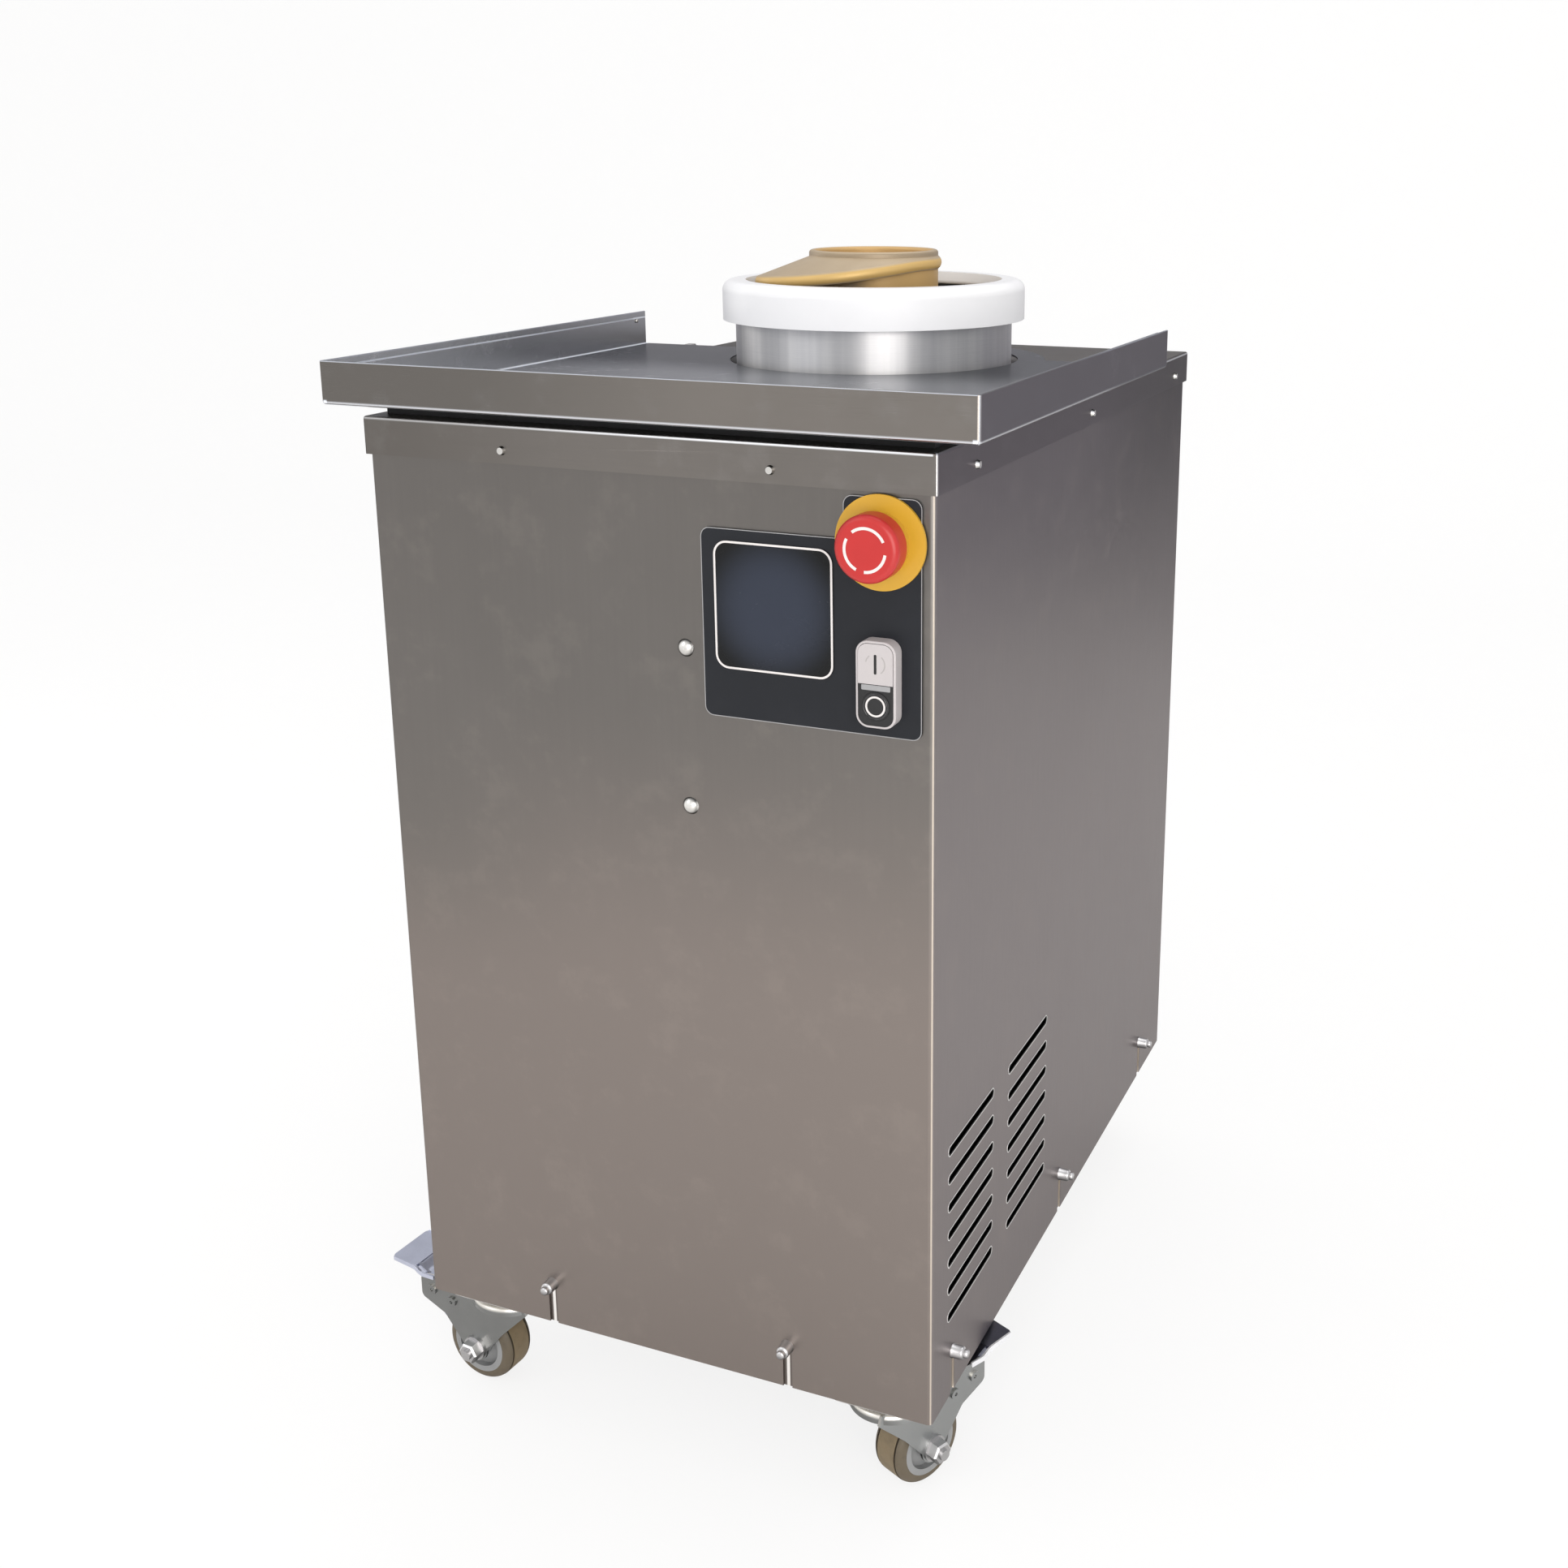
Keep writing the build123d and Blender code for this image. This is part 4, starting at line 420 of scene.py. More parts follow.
@dataclass(frozen=True)
class SheetSteel(Finish):
    """Satin stainless sheet: fine rolled grain, cloudy handling marks and faint scuffed patches."""

    light: Colour
    dark: Colour
    grain: Axis
    roughness: float = 0.34
    smears: float = 0.03
    # Colour of handling smudges, and of the painted highlight along bends and rims.
    smudge_and_highlight: Colour = srgb(232, 220, 206)
    glance: float = 0.7
    cloud_stretch: Point = (1.0, 1.0, 1.4)
    smear_start: Flat = (0.5, 0.72)

    def tint(self, graph: Graph, colour: Socket) -> Socket:
        """The sheet's colour where its tone shifts; plain sheet is the same all over."""
        return colour

    def painted_highlight(self, graph: Graph) -> Operand:
        """Where a highlight is painted on the sheet, from 0 to 1; plain sheet has none."""
        return 0.0

    def polish(self, graph: Graph) -> Operand:
        """How far the sheet mirrors rather than scatters, from 0 to 1."""
        return 1.0

    def sockets(self, graph: Graph) -> dict[str, Any]:
        """Inputs of the shader.

        Args:
            graph: The material's nodes.

        Returns:
            The inputs by name.
        """
        fine = graph.noise(0.35, 2.0, 0.6, self.grain.stretch(60.0))
        streaks = graph.noise(3.0, 3.0, 0.6, self.grain.stretch(40.0))
        clouds = graph.noise(150.0, 4.0, 0.55, self.cloud_stretch)
        marks = graph.noise(28.0, 4.0, 0.62).over(*self.smear_start) * self.smears
        tone = graph.vary(EVEN, (fine, 0.3), (streaks, 0.3), (clouds, 0.7))
        sheet = self.tint(graph, graph.mix(tone, self.dark, self.light))
        sheet = graph.mix(marks, sheet, self.smudge_and_highlight)
        return {
            # Painted highlight: the sheet takes the pale colour wherever a highlight is painted.
            "Base Color": graph.mix(self.painted_highlight(graph), sheet, self.smudge_and_highlight),
            "Metallic": self.polish(graph),
            "Roughness": graph.vary(self.roughness, (fine, 0.12), (clouds, 0.08)) + marks,
            "Specular Tint": (self.glance, self.glance, self.glance),
            "Normal": graph.bump(fine, 0.02, 0.25),
            "Anisotropic": 0.35,
        }


@dataclass(frozen=True)
class FoldedSteel(SheetSteel):
    """Folded sheet with a painted highlight along its right bend and its rims.

    Painted reflection and shade: it is lighter and warmer low on its front and darker to the left of it,
    darker high on its sides and most of all towards their back, and near-black inside. Pairs of numbers say
    where a change along the sheet starts and where it is complete.
    """

    half_width: float = 200.0
    front: float = -295.0
    bend: float = 3.5
    # Heights of the rims that carry a painted highlight.
    rims: tuple[Flat, ...] = ()
    rim_blur: Flat = (0.3, 0.2)
    # Painted reflection and shade: side is the sides' lower colour, shade and deep their darker upper colours
    # towards the front and the back, foot the front's lighter low colour, and edge its darker colour to the
    # left.
    side: Colour = srgb(138, 132, 133)
    shade: Colour = srgb(132, 126, 131)
    deep: Colour = srgb(100, 96, 99)
    foot: Colour = srgb(136, 127, 122)
    edge: Colour = srgb(117, 113, 109)
    # Painted shade: the near-black colour of the inside faces and of the vents' cut edges.
    inside_shade: Colour = srgb(20, 20, 21)
    cover: float = 0.85
    dull: float = 0.0
    left: Flat = (-20.0, -190.0)
    left_above: Flat = (330.0, 500.0)
    left_share: float = 0.9
    fall: Flat = (590.0, 370.0)
    rise: Flat = (560.0, 735.0)
    back: Flat = (-60.0, 270.0)
    bend_turn: float = 0.6
    inner_front: Flat = (0.0, -100.0)
    inner_side: Flat = (-150.0, -190.0)
    slots: Flat = (126.0, 132.0)
    cut_start: Flat = (-1.6, -1.4)
    cut_end: Flat = (-0.25, -0.1)
    cut_facing: Flat = (0.3, 0.5)
    # Painted highlight: where the bright line along the right bend lies, and the span of the sides along
    # which the rim highlight shows.
    line: Flat = (0.08, 0.34)
    line_start: Flat = (-0.5, 0.0)
    line_share: float = 0.7
    side_start: Flat = (0.0, 1.0)
    side_highlight_span: Flat = (-160.0, 40.0)
    fade: Flat = (60.0, -160.0)

    def tint(self, graph: Graph, colour: Socket) -> Socket:
        """The sheet's colour on its front and its sides, with painted reflection and shade, and near-black
        inside as painted shade.

        Args:
            graph: The material's nodes.
            colour: The plain sheet's colour.

        Returns:
            The colour.
        """
        aside, along, height = graph.along(Axis.X), graph.along(Axis.Y), graph.along(Axis.Z)
        # Painted reflection: the front lightens and warms towards the bottom, and stays darker to the left.
        fallen = height.over(*self.fall) * self.cover
        left = aside.over(*self.left)
        lower = graph.mix(fallen, colour, self.edge)
        front = graph.mix(fallen, colour, self.foot)
        front = graph.mix(left * height.over(*self.left_above) * self.left_share, front, lower)
        front = graph.mix(left * self.dull, front, self.edge)
        # Painted shade: the sides darken high up, most of all towards the back.
        high = graph.mix(along.over(*self.back), self.shade, self.deep)
        side = graph.mix(height.over(*self.rise), self.side, high)
        turned = abs(aside) - (self.half_width - self.bend)
        turned = turned.over(self.bend * self.bend_turn, self.bend) * self.cover
        outside = graph.mix(turned, front, side)
        # Painted shade: faces turned inwards and the cut edges of the vents take the near-black inside
        # colour.
        inside = graph.facing(Axis.Y).over(*FACING) * along.over(*self.inner_front)
        inside = (graph.facing(Axis.X) * aside).over(*self.inner_side).most(inside)
        return graph.mix(inside.most(self.cut(graph) * height.over(*self.slots)), outside, self.inside_shade)

    def cut(self, graph: Graph) -> Value:
        """Where the sides show the cut edge of a slot or a vent.

        Args:
            graph: The material's nodes.

        Returns:
            1 on a cut edge and 0 elsewhere.
        """
        across = abs(graph.along(Axis.X)) - self.half_width
        depth = across.over(*self.cut_start) * (1.0 - across.over(*self.cut_end))
        return depth * (1.0 - abs(graph.facing(Axis.X)).over(*self.cut_facing))

    def painted_highlight(self, graph: Graph) -> Operand:
        """Where a highlight is painted on the sheet: a line along the right bend, the cut edges of the low
        slots and the rims.

        Args:
            graph: The material's nodes.

        Returns:
            1 where the highlight is painted and 0 elsewhere.
        """
        aside, along, height = graph.along(Axis.X), graph.along(Axis.Y), graph.along(Axis.Z)
        across = aside - (self.half_width - self.bend)
        ahead = (self.front + self.bend) - along
        apart = abs(across - ahead) / self.bend
        lines = (1.0 - apart.over(*self.line)) * across.over(*self.line_start) * self.line_share
        lines = lines.most(self.cut(graph) * (1.0 - height.over(*self.slots)))
        kept = (1.0 - across.over(*self.side_start)).most(along.over(*self.side_highlight_span))
        kept = kept * (1.0 - aside.over(*self.fade) * self.dull)
        lower, upper = self.rim_blur
        for low, high in self.rims:
            rim = height.over(low - lower, low + lower) * (1.0 - height.over(high - upper, high + upper))
            lines = lines.most(rim * kept)
        return lines


@dataclass(frozen=True)
class TraySteel(FoldedSteel):
    """Polished tray with painted reflection, light and shade: a cooler floor that lightens towards the front,
    a lighter inner face on the left wall, a darker left end of the front wall, and a painted white highlight
    along the foot of its walls and the left wall's hem.
    """

    # Painted reflection, light and shade: floor is the floor's colour and near its lighter colour towards the
    # front, inside the lighter inner face of the left wall, and corner the darker left end of the front wall.
    floor: Colour = srgb(122, 125, 133)
    near: Colour = srgb(210, 212, 218)
    inside: Colour = srgb(202, 203, 206)
    corner: Colour = srgb(116, 112, 108)
    floor_height: float = 752.0
    wall_height: float = 779.2
    sheet: float = 1.5
    hem: float = 5.0
    foot_width: float = 5.0
    floor_start: Flat = (-0.6, -0.2)
    floor_end: Flat = (0.1, 1.5)
    floor_share: float = 0.9
    floor_dull: float = 0.1
    # Where the painted white highlight runs along the foot of the walls and the left wall's hem, and how far
    # it dulls the mirror.
    foot_end: Flat = (0.9, 2.4)
    foot_blur: float = 1.0
    wall_blur: float = 0.4
    hem_line: Flat = (0.4, 0.9)
    hem_side: Flat = (0.0, -100.0)
    highlight_matte: float = 0.8
    # Painted highlight along the tray's lower edge; then painted shade at the front wall's left and painted
    # reflection at the floor's front.
    lower_edge: Flat = (0.3, 0.8)
    dark_corner: Flat = (80.0, -140.0)
    near_floor: Flat = (20.0, -80.0)

    def above(self, graph: Graph) -> Value:
        """Height above the tray's floor, in millimetres."""
        return graph.along(Axis.Z) - self.floor_height

    def level(self, graph: Graph) -> Value:
        """Where the tray is floor, from 0 to 1."""
        above = self.above(graph)
        return above.over(*self.floor_start) * (1.0 - above.over(*self.floor_end))

    def tint(self, graph: Graph, colour: Socket) -> Socket:
        """The tray's colour on its walls and its floor, with painted light, shade and reflection.

        Args:
            graph: The material's nodes.
            colour: The plain sheet's colour.

        Returns:
            The colour.
        """
        aside = graph.along(Axis.X)
        left = (aside * -1.0).over(self.half_width - self.foot_width, self.half_width - self.bend)
        # Painted shade: the front wall darkens to the left.
        front = graph.mix(aside.over(*self.dark_corner), colour, self.corner)
        walls = super().tint(graph, front)
        # Painted light: the left wall's inner face is lighter.
        walls = graph.mix(left * graph.facing(Axis.X).over(*FACING), walls, self.inside)
        # Painted reflection: the floor lightens towards the front.
        floor = graph.mix(graph.along(Axis.Y).over(*self.near_floor), self.floor, self.near)
        return graph.mix(self.level(graph) * self.floor_share, walls, floor)

    def painted_white_highlight(self, graph: Graph) -> Value:
        """Where a white highlight is painted on the tray: the foot of its walls and the edge of the left
        wall's hem.

        Args:
            graph: The material's nodes.

        Returns:
            1 where the highlight is painted and 0 elsewhere.
        """
        aside, above = graph.along(Axis.X), self.above(graph)
        across = abs(aside)
        wall, foot_start = self.half_width - self.sheet, self.half_width - self.foot_width
        foot = above.over(*self.floor_start) * (1.0 - above.over(*self.foot_end))
        foot = foot * (1.0 - across.over(wall - self.wall_blur, wall))
        foot = foot * across.over(foot_start, foot_start + self.foot_blur)
        hem = 1.0 - abs(graph.along(Axis.Z) - (self.wall_height - self.hem)).over(*self.hem_line)
        hem = hem * graph.facing(Axis.X).over(*FACING) * aside.over(*self.hem_side)
        return foot.most(hem)

    def polish(self, graph: Graph) -> Operand:
        """How far the tray mirrors; it scatters a little on its floor and more under its painted white
        highlight.
        """
        return 1.0 - self.level(graph) * self.floor_dull - self.painted_white_highlight(graph) * self.highlight_matte

    def painted_highlight(self, graph: Graph) -> Operand:
        """Where a highlight is painted on the tray: its white lines, its bends and its lower edge."""
        edge = 1.0 - (self.above(graph) + self.sheet).over(*self.lower_edge)
        return self.painted_white_highlight(graph).most(edge).most(super().painted_highlight(graph))


@dataclass(frozen=True)
class TurnedSteel(Finish):
    """Steel brushed as it turned: fine rings, upright bands of harder brushing, and painted shade on its
    inside.
    """

    light: Colour
    dark: Colour
    # Painted shade: the dark colour of the drum's inside.
    inside_shade: Colour
    wall: Flat = (106.0, 108.5)
    roughness: float = 0.46
    ring_stretch: Point = (80.0, 80.0, 1.0)

    def sockets(self, graph: Graph) -> dict[str, Any]:
        """Inputs of the shader.

        Args:
            graph: The material's nodes.

        Returns:
            The inputs by name.
        """
        rings = graph.noise(0.35, 2.0, 0.6, self.ring_stretch)
        bands = graph.noise(14.0, 3.0, 0.6, Axis.Z.stretch(60.0))
        tone = graph.vary(EVEN, (rings, 0.3), (bands, 0.9))
        # Painted shade: inside its wall the drum takes the dark inside colour.
        outside = graph.from_axis(DRUM_AXIS).over(*self.wall)
        return {
            "Base Color": graph.mix(outside, self.inside_shade, graph.mix(tone, self.dark, self.light)),
            "Metallic": 1.0,
            "Roughness": graph.vary(self.roughness, (rings, 0.1), (bands, 0.06)),
            "Normal": graph.bump(rings, 0.02, 0.2),
            "Anisotropic": 0.85,
            "Anisotropic Rotation": 0.25,
        }


@dataclass(frozen=True)
class BrightSteel(Finish):
    """Turned, plated or polished steel with fine scratches and a little tarnish."""

    light: Colour
    dark: Colour
    roughness: float
    scratch: float
    tarnish: float
    metal: float = 1.0

    def sockets(self, graph: Graph) -> dict[str, Any]:
        """Inputs of the shader.

        Args:
            graph: The material's nodes.

        Returns:
            The inputs by name.
        """
        scratches = graph.noise(self.scratch, 3.0, 0.65)
        patches = graph.noise(14.0, 4.0, 0.6)
        tone = graph.vary(EVEN, (scratches, 0.5), (patches, self.tarnish * 2.0))
        return {
            "Base Color": graph.mix(tone, self.dark, self.light),
            "Metallic": self.metal,
            "Roughness": graph.vary(self.roughness, (scratches, 0.16), (patches, 0.12)),
            "Normal": graph.bump(scratches, 0.03, 0.3),
        }


@dataclass(frozen=True)
class CoatedBronze(Finish):
    """Bronze-coloured non-stick coating with painted light: dull where it faces up, golden where it stands
    upright along the flight's edge and on the right of its core, dull on its rim, and golden in its bore.
    """

    name: str = "auger_coating"
    light: Colour = srgb(186, 168, 142)
    dark: Colour = srgb(168, 149, 122)
    edge: Colour = srgb(210, 175, 110)
    wall: Colour = srgb(200, 165, 108)
    bore: Colour = srgb(206, 169, 112)
    rim: Colour = srgb(158, 141, 117)
    rim_start: Flat = (826.0, 828.5)
    roughness: float = 0.44
    bore_edge: Flat = (45.0, 48.8)
    flight_start: Flat = (51.3, 52.8)
    flat: Flat = (0.45, 0.75)
    golden_side: Flat = (20.0, 0.0)

    def sockets(self, graph: Graph) -> dict[str, Any]:
        """Inputs of the shader.

        Args:
            graph: The material's nodes.

        Returns:
            The inputs by name.
        """
        mottle = graph.noise(22.0, 4.0, 0.55)
        grain = graph.noise(0.5, 2.0, 0.6)
        radius = graph.from_axis(DRUM_AXIS)
        colour = graph.mix(graph.vary(EVEN, (mottle, 0.9), (grain, 0.35)), self.dark, self.light)
        # Painted light: upright faces turn golden, faces turned up keep the dull colour.
        upright = 1.0 - abs(graph.facing(Axis.Z)).over(*self.flat)
        # Painted light: the core's wall is golden on its right and dull on its left.
        core = graph.mix((graph.along(Axis.X) - DRUM_AXIS[0]).over(*self.golden_side), self.wall, colour)
        core = graph.mix(graph.along(Axis.Z).over(*self.rim_start), core, self.rim)
        colour = graph.mix(upright, colour, graph.mix(radius.over(*self.flight_start), core, self.edge))
        return {
            "Base Color": graph.mix(1.0 - radius.over(*self.bore_edge), colour, self.bore),
            "Metallic": 0.25,
            "Roughness": graph.vary(self.roughness, (grain, 0.14)),
            "Normal": graph.bump(grain, 0.03, 0.3),
        }


@dataclass(frozen=True)
class Plastic(Finish):
    """Moulded plastic with a fine grain and a little unevenness in colour and gloss."""

    colour: Colour
    roughness: float = 0.38
    spread: float = 0.12
    grain: float = 0.6
    grain_depth: float = 0.02
    coat: float = 0.0

    def sockets(self, graph: Graph) -> dict[str, Any]:
        """Inputs of the shader.

        Args:
            graph: The material's nodes.

        Returns:
            The inputs by name.
        """
        grain = graph.noise(self.grain, 2.0, 0.6)
        clouds = graph.noise(18.0, 3.0, 0.5)
        deep = tuple(part * (1.0 - self.spread) for part in self.colour)
        pale = tuple(min(1.0, part * (1.0 + self.spread)) for part in self.colour)
        return {
            "Base Color": graph.mix(graph.vary(EVEN, (clouds, 1.2), (grain, 0.2)), deep, pale),
            "Roughness": graph.vary(self.roughness, (clouds, 0.1), (grain, 0.08)),
            "Normal": graph.bump(grain, self.grain_depth, 0.35),
            "Coat Weight": self.coat,
        }


@dataclass(frozen=True)
class PaintedPlate(Finish):
    """Black powder coat: fine orange peel and faint dust."""

    colour: Colour
    dust: Colour
    roughness: float = 0.42
    dust_start: Flat = (0.4, 0.8)
    dust_share: float = 0.35
    speck_apart: float = 2.2
    speck_edge: Flat = (0.05, 0.16)
    speck_share: float = 0.06

    def sockets(self, graph: Graph) -> dict[str, Any]:
        """Inputs of the shader.

        Args:
            graph: The material's nodes.

        Returns:
            The inputs by name.
        """
        peel = graph.noise(0.8, 2.0, 0.5)
        clouds = graph.noise(40.0, 4.0, 0.6)
        specks = 1.0 - graph.cells(self.speck_apart).over(*self.speck_edge)
        dusty = clouds.over(*self.dust_start) * self.dust_share + specks * self.speck_share
        return {
            "Base Color": graph.mix(dusty, self.colour, self.dust),
            "Roughness": graph.vary(self.roughness, (clouds, 0.12)),
            "Specular IOR Level": 0.25,
            "Normal": graph.bump(peel, 0.03, 0.3),
        }


@dataclass(frozen=True)
class TouchGlass(Finish):
    """Dark touch screen under glass: a bluish middle that falls off towards its border, and faint smears."""

    middle: Colour
    border: Colour
    centre: Flat
    half: float
    fall: Flat = (0.1, 1.5)
    smear_stretch: Point = (1.6, 1.0, 1.0)
    smear_start: Flat = (0.45, 0.75)
    smear_dull: float = 0.1
    roughness: float = 0.2

    def sockets(self, graph: Graph) -> dict[str, Any]:
        """Inputs of the shader.

        Args:
            graph: The material's nodes.

        Returns:
            The inputs by name.
        """
        across = abs(graph.along(Axis.X) - self.centre[0]) / self.half
        up = abs(graph.along(Axis.Z) - self.centre[1]) / self.half
        smears = graph.noise(16.0, 4.0, 0.65, self.smear_stretch).over(*self.smear_start)
        return {
            "Base Color": graph.mix((across**2.0 + up**2.0).over(*self.fall), self.middle, self.border),
            "Roughness": self.roughness + smears * self.smear_dull,
            "Specular IOR Level": 0.22,
        }


@dataclass(frozen=True)
class BeltRubber(Finish):
    """Black rubber belt: fine grain, scuffed and dusty where it runs."""

    colour: Colour
    dust: Colour
    roughness: float
    dust_start: Flat = (0.4, 0.75)
    dust_share: float = 0.7

    def sockets(self, graph: Graph) -> dict[str, Any]:
        """Inputs of the shader.

        Args:
            graph: The material's nodes.

        Returns:
            The inputs by name.
        """
        grain = graph.noise(0.7, 3.0, 0.6)
        scuffs = graph.noise(7.0, 5.0, 0.65)
        dusty = scuffs.over(*self.dust_start) * self.dust_share + grain.swing(0.2)
        return {
            "Base Color": graph.mix(dusty, self.colour, self.dust),
            "Roughness": graph.vary(self.roughness, (scuffs, 0.2)),
            "Normal": graph.bump(grain, 0.06, 0.5),
        }


@dataclass(frozen=True)
class WheelTread(Finish):
    """Moulded tread: browner where it runs, greyer on its shoulders, and painted shade for its two grooves.
    """

    centre: Point
    axle: Point
    middle: Colour = srgb(122, 107, 82)
    shoulder: Colour = srgb(92, 82, 66)
    # Painted shade for the two grooves; the scuffs also darken towards this colour.
    groove: Colour = srgb(38, 34, 31)
    groove_offset: float = 9.0
    groove_width: Flat = (0.45, 0.85)
    shoulder_blur: float = 0.4
    scuff_start: Flat = (0.45, 0.8)
    scuff_share: float = 0.25
    roughness: float = 0.5

    def sockets(self, graph: Graph) -> dict[str, Any]:
        """Inputs of the shader.

        Args:
            graph: The material's nodes.

        Returns:
            The inputs by name.
        """
        off = self.off_middle(graph)
        grain = graph.noise(0.7, 3.0, 0.6)
        scuffs = graph.noise(9.0, 5.0, 0.65)
        run = off.over(self.groove_offset - self.shoulder_blur, self.groove_offset + self.shoulder_blur)
        colour = graph.mix(run, self.middle, self.shoulder)
        colour = graph.mix(scuffs.over(*self.scuff_start) * self.scuff_share, colour, self.groove)
        # Painted shade along the two grooves.
        colour = graph.mix(1.0 - abs(off - self.groove_offset).over(*self.groove_width), colour, self.groove)
        return {
            "Base Color": colour,
            "Roughness": graph.vary(self.roughness, (scuffs, 0.2)),
            "Normal": graph.bump(grain, 0.05, 0.4),
        }

    def off_middle(self, graph: Graph) -> Value:
        """Distance from the middle of the tread's width.

        Args:
            graph: The material's nodes.

        Returns:
            The distance in millimetres.
        """
        kind = "ShaderNodeVectorMath"
        moved = graph.node(kind, {"operation": "SUBTRACT"}, {0: graph.place(), 1: self.centre})
        aside = graph.node(kind, {"operation": "DOT_PRODUCT"}, {0: moved.outputs[0], 1: self.axle})
        return abs(Value(graph, aside.outputs["Value"]) * (1.0 / MM))


@dataclass(frozen=True)
class ShadedChrome(Finish):
    """Chromed fastener with painted light: bright where it faces up, and darker as painted shade where it
    faces the ground.
    """

    light: Colour
    dark: Colour
    roughness: float = 0.3
    scratch: float = 0.5
    speckle: float = 0.06
    upward: Flat = (-0.75, 0.55)

    def lit(self, graph: Graph) -> Value:
        """Where light is painted on the fastener, from 0 to 1."""
        return graph.facing(Axis.Z).over(*self.upward)

    def sockets(self, graph: Graph) -> dict[str, Any]:
        """Inputs of the shader.

        Args:
            graph: The material's nodes.

        Returns:
            The inputs by name.
        """
        scratches = graph.noise(self.scratch, 3.0, 0.65)
        return {
            "Base Color": graph.mix(self.lit(graph) + scratches.swing(self.speckle), self.dark, self.light),
            "Metallic": 1.0,
            "Roughness": graph.vary(self.roughness, (scratches, 0.1)),
            "Normal": graph.bump(scratches, 0.02, 0.2),
        }


@dataclass(frozen=True)
class DomedSteel(ShadedChrome):
    """Small polished dome on a wall: a painted highlight on its crown, more so above, and painted shade round
    its foot.
    """

    roughness: float = 0.2
    scratch: float = 0.4
    speckle: float = 0.2
    upward: Flat = (-0.2, 0.3)
    crown: Flat = (0.5, 0.95)
    upper_share: float = 0.4

    def lit(self, graph: Graph) -> Value:
        """Where the highlight is painted on the dome, from 0 to 1."""
        out = abs(graph.facing(Axis.X)).most(abs(graph.facing(Axis.Y))).over(*self.crown)
        return out * (1.0 - self.upper_share + super().lit(graph) * self.upper_share)


@dataclass(frozen=True)
class PressedZinc(Finish):
    """Pressed and plated fork: grey cheeks, painted lighter where they face right, and a painted highlight on
    the crown where it faces up.
    """

    cheek: Colour
    pale: Colour
    crown: Colour
    crown_start: Flat = (66.0, 70.0)
    crown_facing: Flat = (0.2, 0.6)
    pale_facing: Flat = (0.3, 0.8)
    deep: float = 0.8
    roughness: float = 0.3

    def sockets(self, graph: Graph) -> dict[str, Any]:
        """Inputs of the shader.

        Args:
            graph: The material's nodes.

        Returns:
            The inputs by name.
        """
        grain = graph.noise(0.9, 3.0, 0.6)
        clouds = graph.noise(24.0, 3.0, 0.5)
        # Painted highlight on the crown where it faces up; painted light on the cheeks that face right.
        lit = graph.along(Axis.Z).over(*self.crown_start) * graph.facing(Axis.Z).over(*self.crown_facing)
        deep = tuple(part * self.deep for part in self.cheek)
        cheek = graph.mix(graph.vary(EVEN, (clouds, 1.2), (grain, 0.2)), deep, self.cheek)
        cheek = graph.mix(graph.facing(Axis.X).over(*self.pale_facing), cheek, self.pale)
        return {
            "Base Color": graph.mix(lit, cheek, self.crown),
            "Metallic": 1.0,
            "Roughness": graph.vary(self.roughness, (grain, 0.1), (clouds, 0.1)),
            "Normal": graph.bump(grain, 0.02, 0.25),
        }


@dataclass(frozen=True)
class SlottedPan(Finish):
    """Galvanised pan with painted shade where the panel's slots show it and a painted highlight in the middle
    of each.
    """

    light: Colour
    dark: Colour
    slot_shade: Colour
    painted_white_highlight: Colour
    slots: float
    slot_width: float = 6.8
    highlight_width: float = 2.8
    roughness: float = 0.36

    def sockets(self, graph: Graph) -> dict[str, Any]:
        """Inputs of the shader.

        Args:
            graph: The material's nodes.

        Returns:
            The inputs by name.
        """
        spangle = graph.noise(6.0, 4.0, 0.6)
        apart = abs(abs(graph.along(Axis.X)) - self.slots)
        sheet = graph.mix(graph.vary(EVEN, (spangle, 1.4)), self.dark, self.light)
        # Painted shade round each slot, and a painted highlight down its middle.
        sheet = graph.mix(1.0 - apart.over(self.slot_width / 2, self.slot_width), sheet, self.slot_shade)
        bright = 1.0 - apart.over(self.highlight_width / 3, self.highlight_width / 2)
        return {
            "Base Color": graph.mix(bright, sheet, self.painted_white_highlight),
            "Metallic": 1.0,
            "Roughness": graph.vary(self.roughness, (spangle, 0.2)),
            "Normal": graph.bump(spangle, 0.03, 0.3),
        }


@dataclass(frozen=True)
class StudioFloor(Finish):
    """Pale floor that the camera sees nearly white; polished steel mirrors a greyer room at the back."""

    name: str = "studio_floor"
    light: Colour = srgb(248, 247, 246)
    dark: Colour = srgb(244, 243, 242)
    room: Colour = srgb(172, 171, 176)
    room_start: Flat = (1700.0, 2900.0)
    white: float = 0.82

    def close(self, graph: Graph) -> bpy.types.Material:
        """The material, closed with a mix of paint and plain white.

        Args:
            graph: The material's nodes.

        Returns:
            The finished material.
        """
        rays = graph.node("ShaderNodeLightPath").outputs
        colour = graph.mix(graph.noise(60.0), self.dark, self.light)
        mirrored = Value(graph, rays["Is Glossy Ray"]) * graph.along(Axis.Y).over(*self.room_start)
        colour = graph.mix(mirrored, colour, self.room)
        paint = graph.node("ShaderNodeBsdfPrincipled", None, {"Base Color": colour, "Roughness": 0.7})
        glow = graph.node("ShaderNodeEmission", None, {"Color": (1.0, 1.0, 1.0), "Strength": 1.0})
        seen = Value(graph, rays["Is Camera Ray"]) * self.white
        both = graph.node("ShaderNodeMixShader", None, {0: seen, 1: paint.outputs[0], 2: glow.outputs[0]})
        graph.node("ShaderNodeOutputMaterial", None, {"Surface": both.outputs[0]})
        return graph.material


REAR_STEEL = SheetSteel("rear_steel", srgb(122, 118, 115), srgb(104, 101, 98), Axis.Z, 0.36)
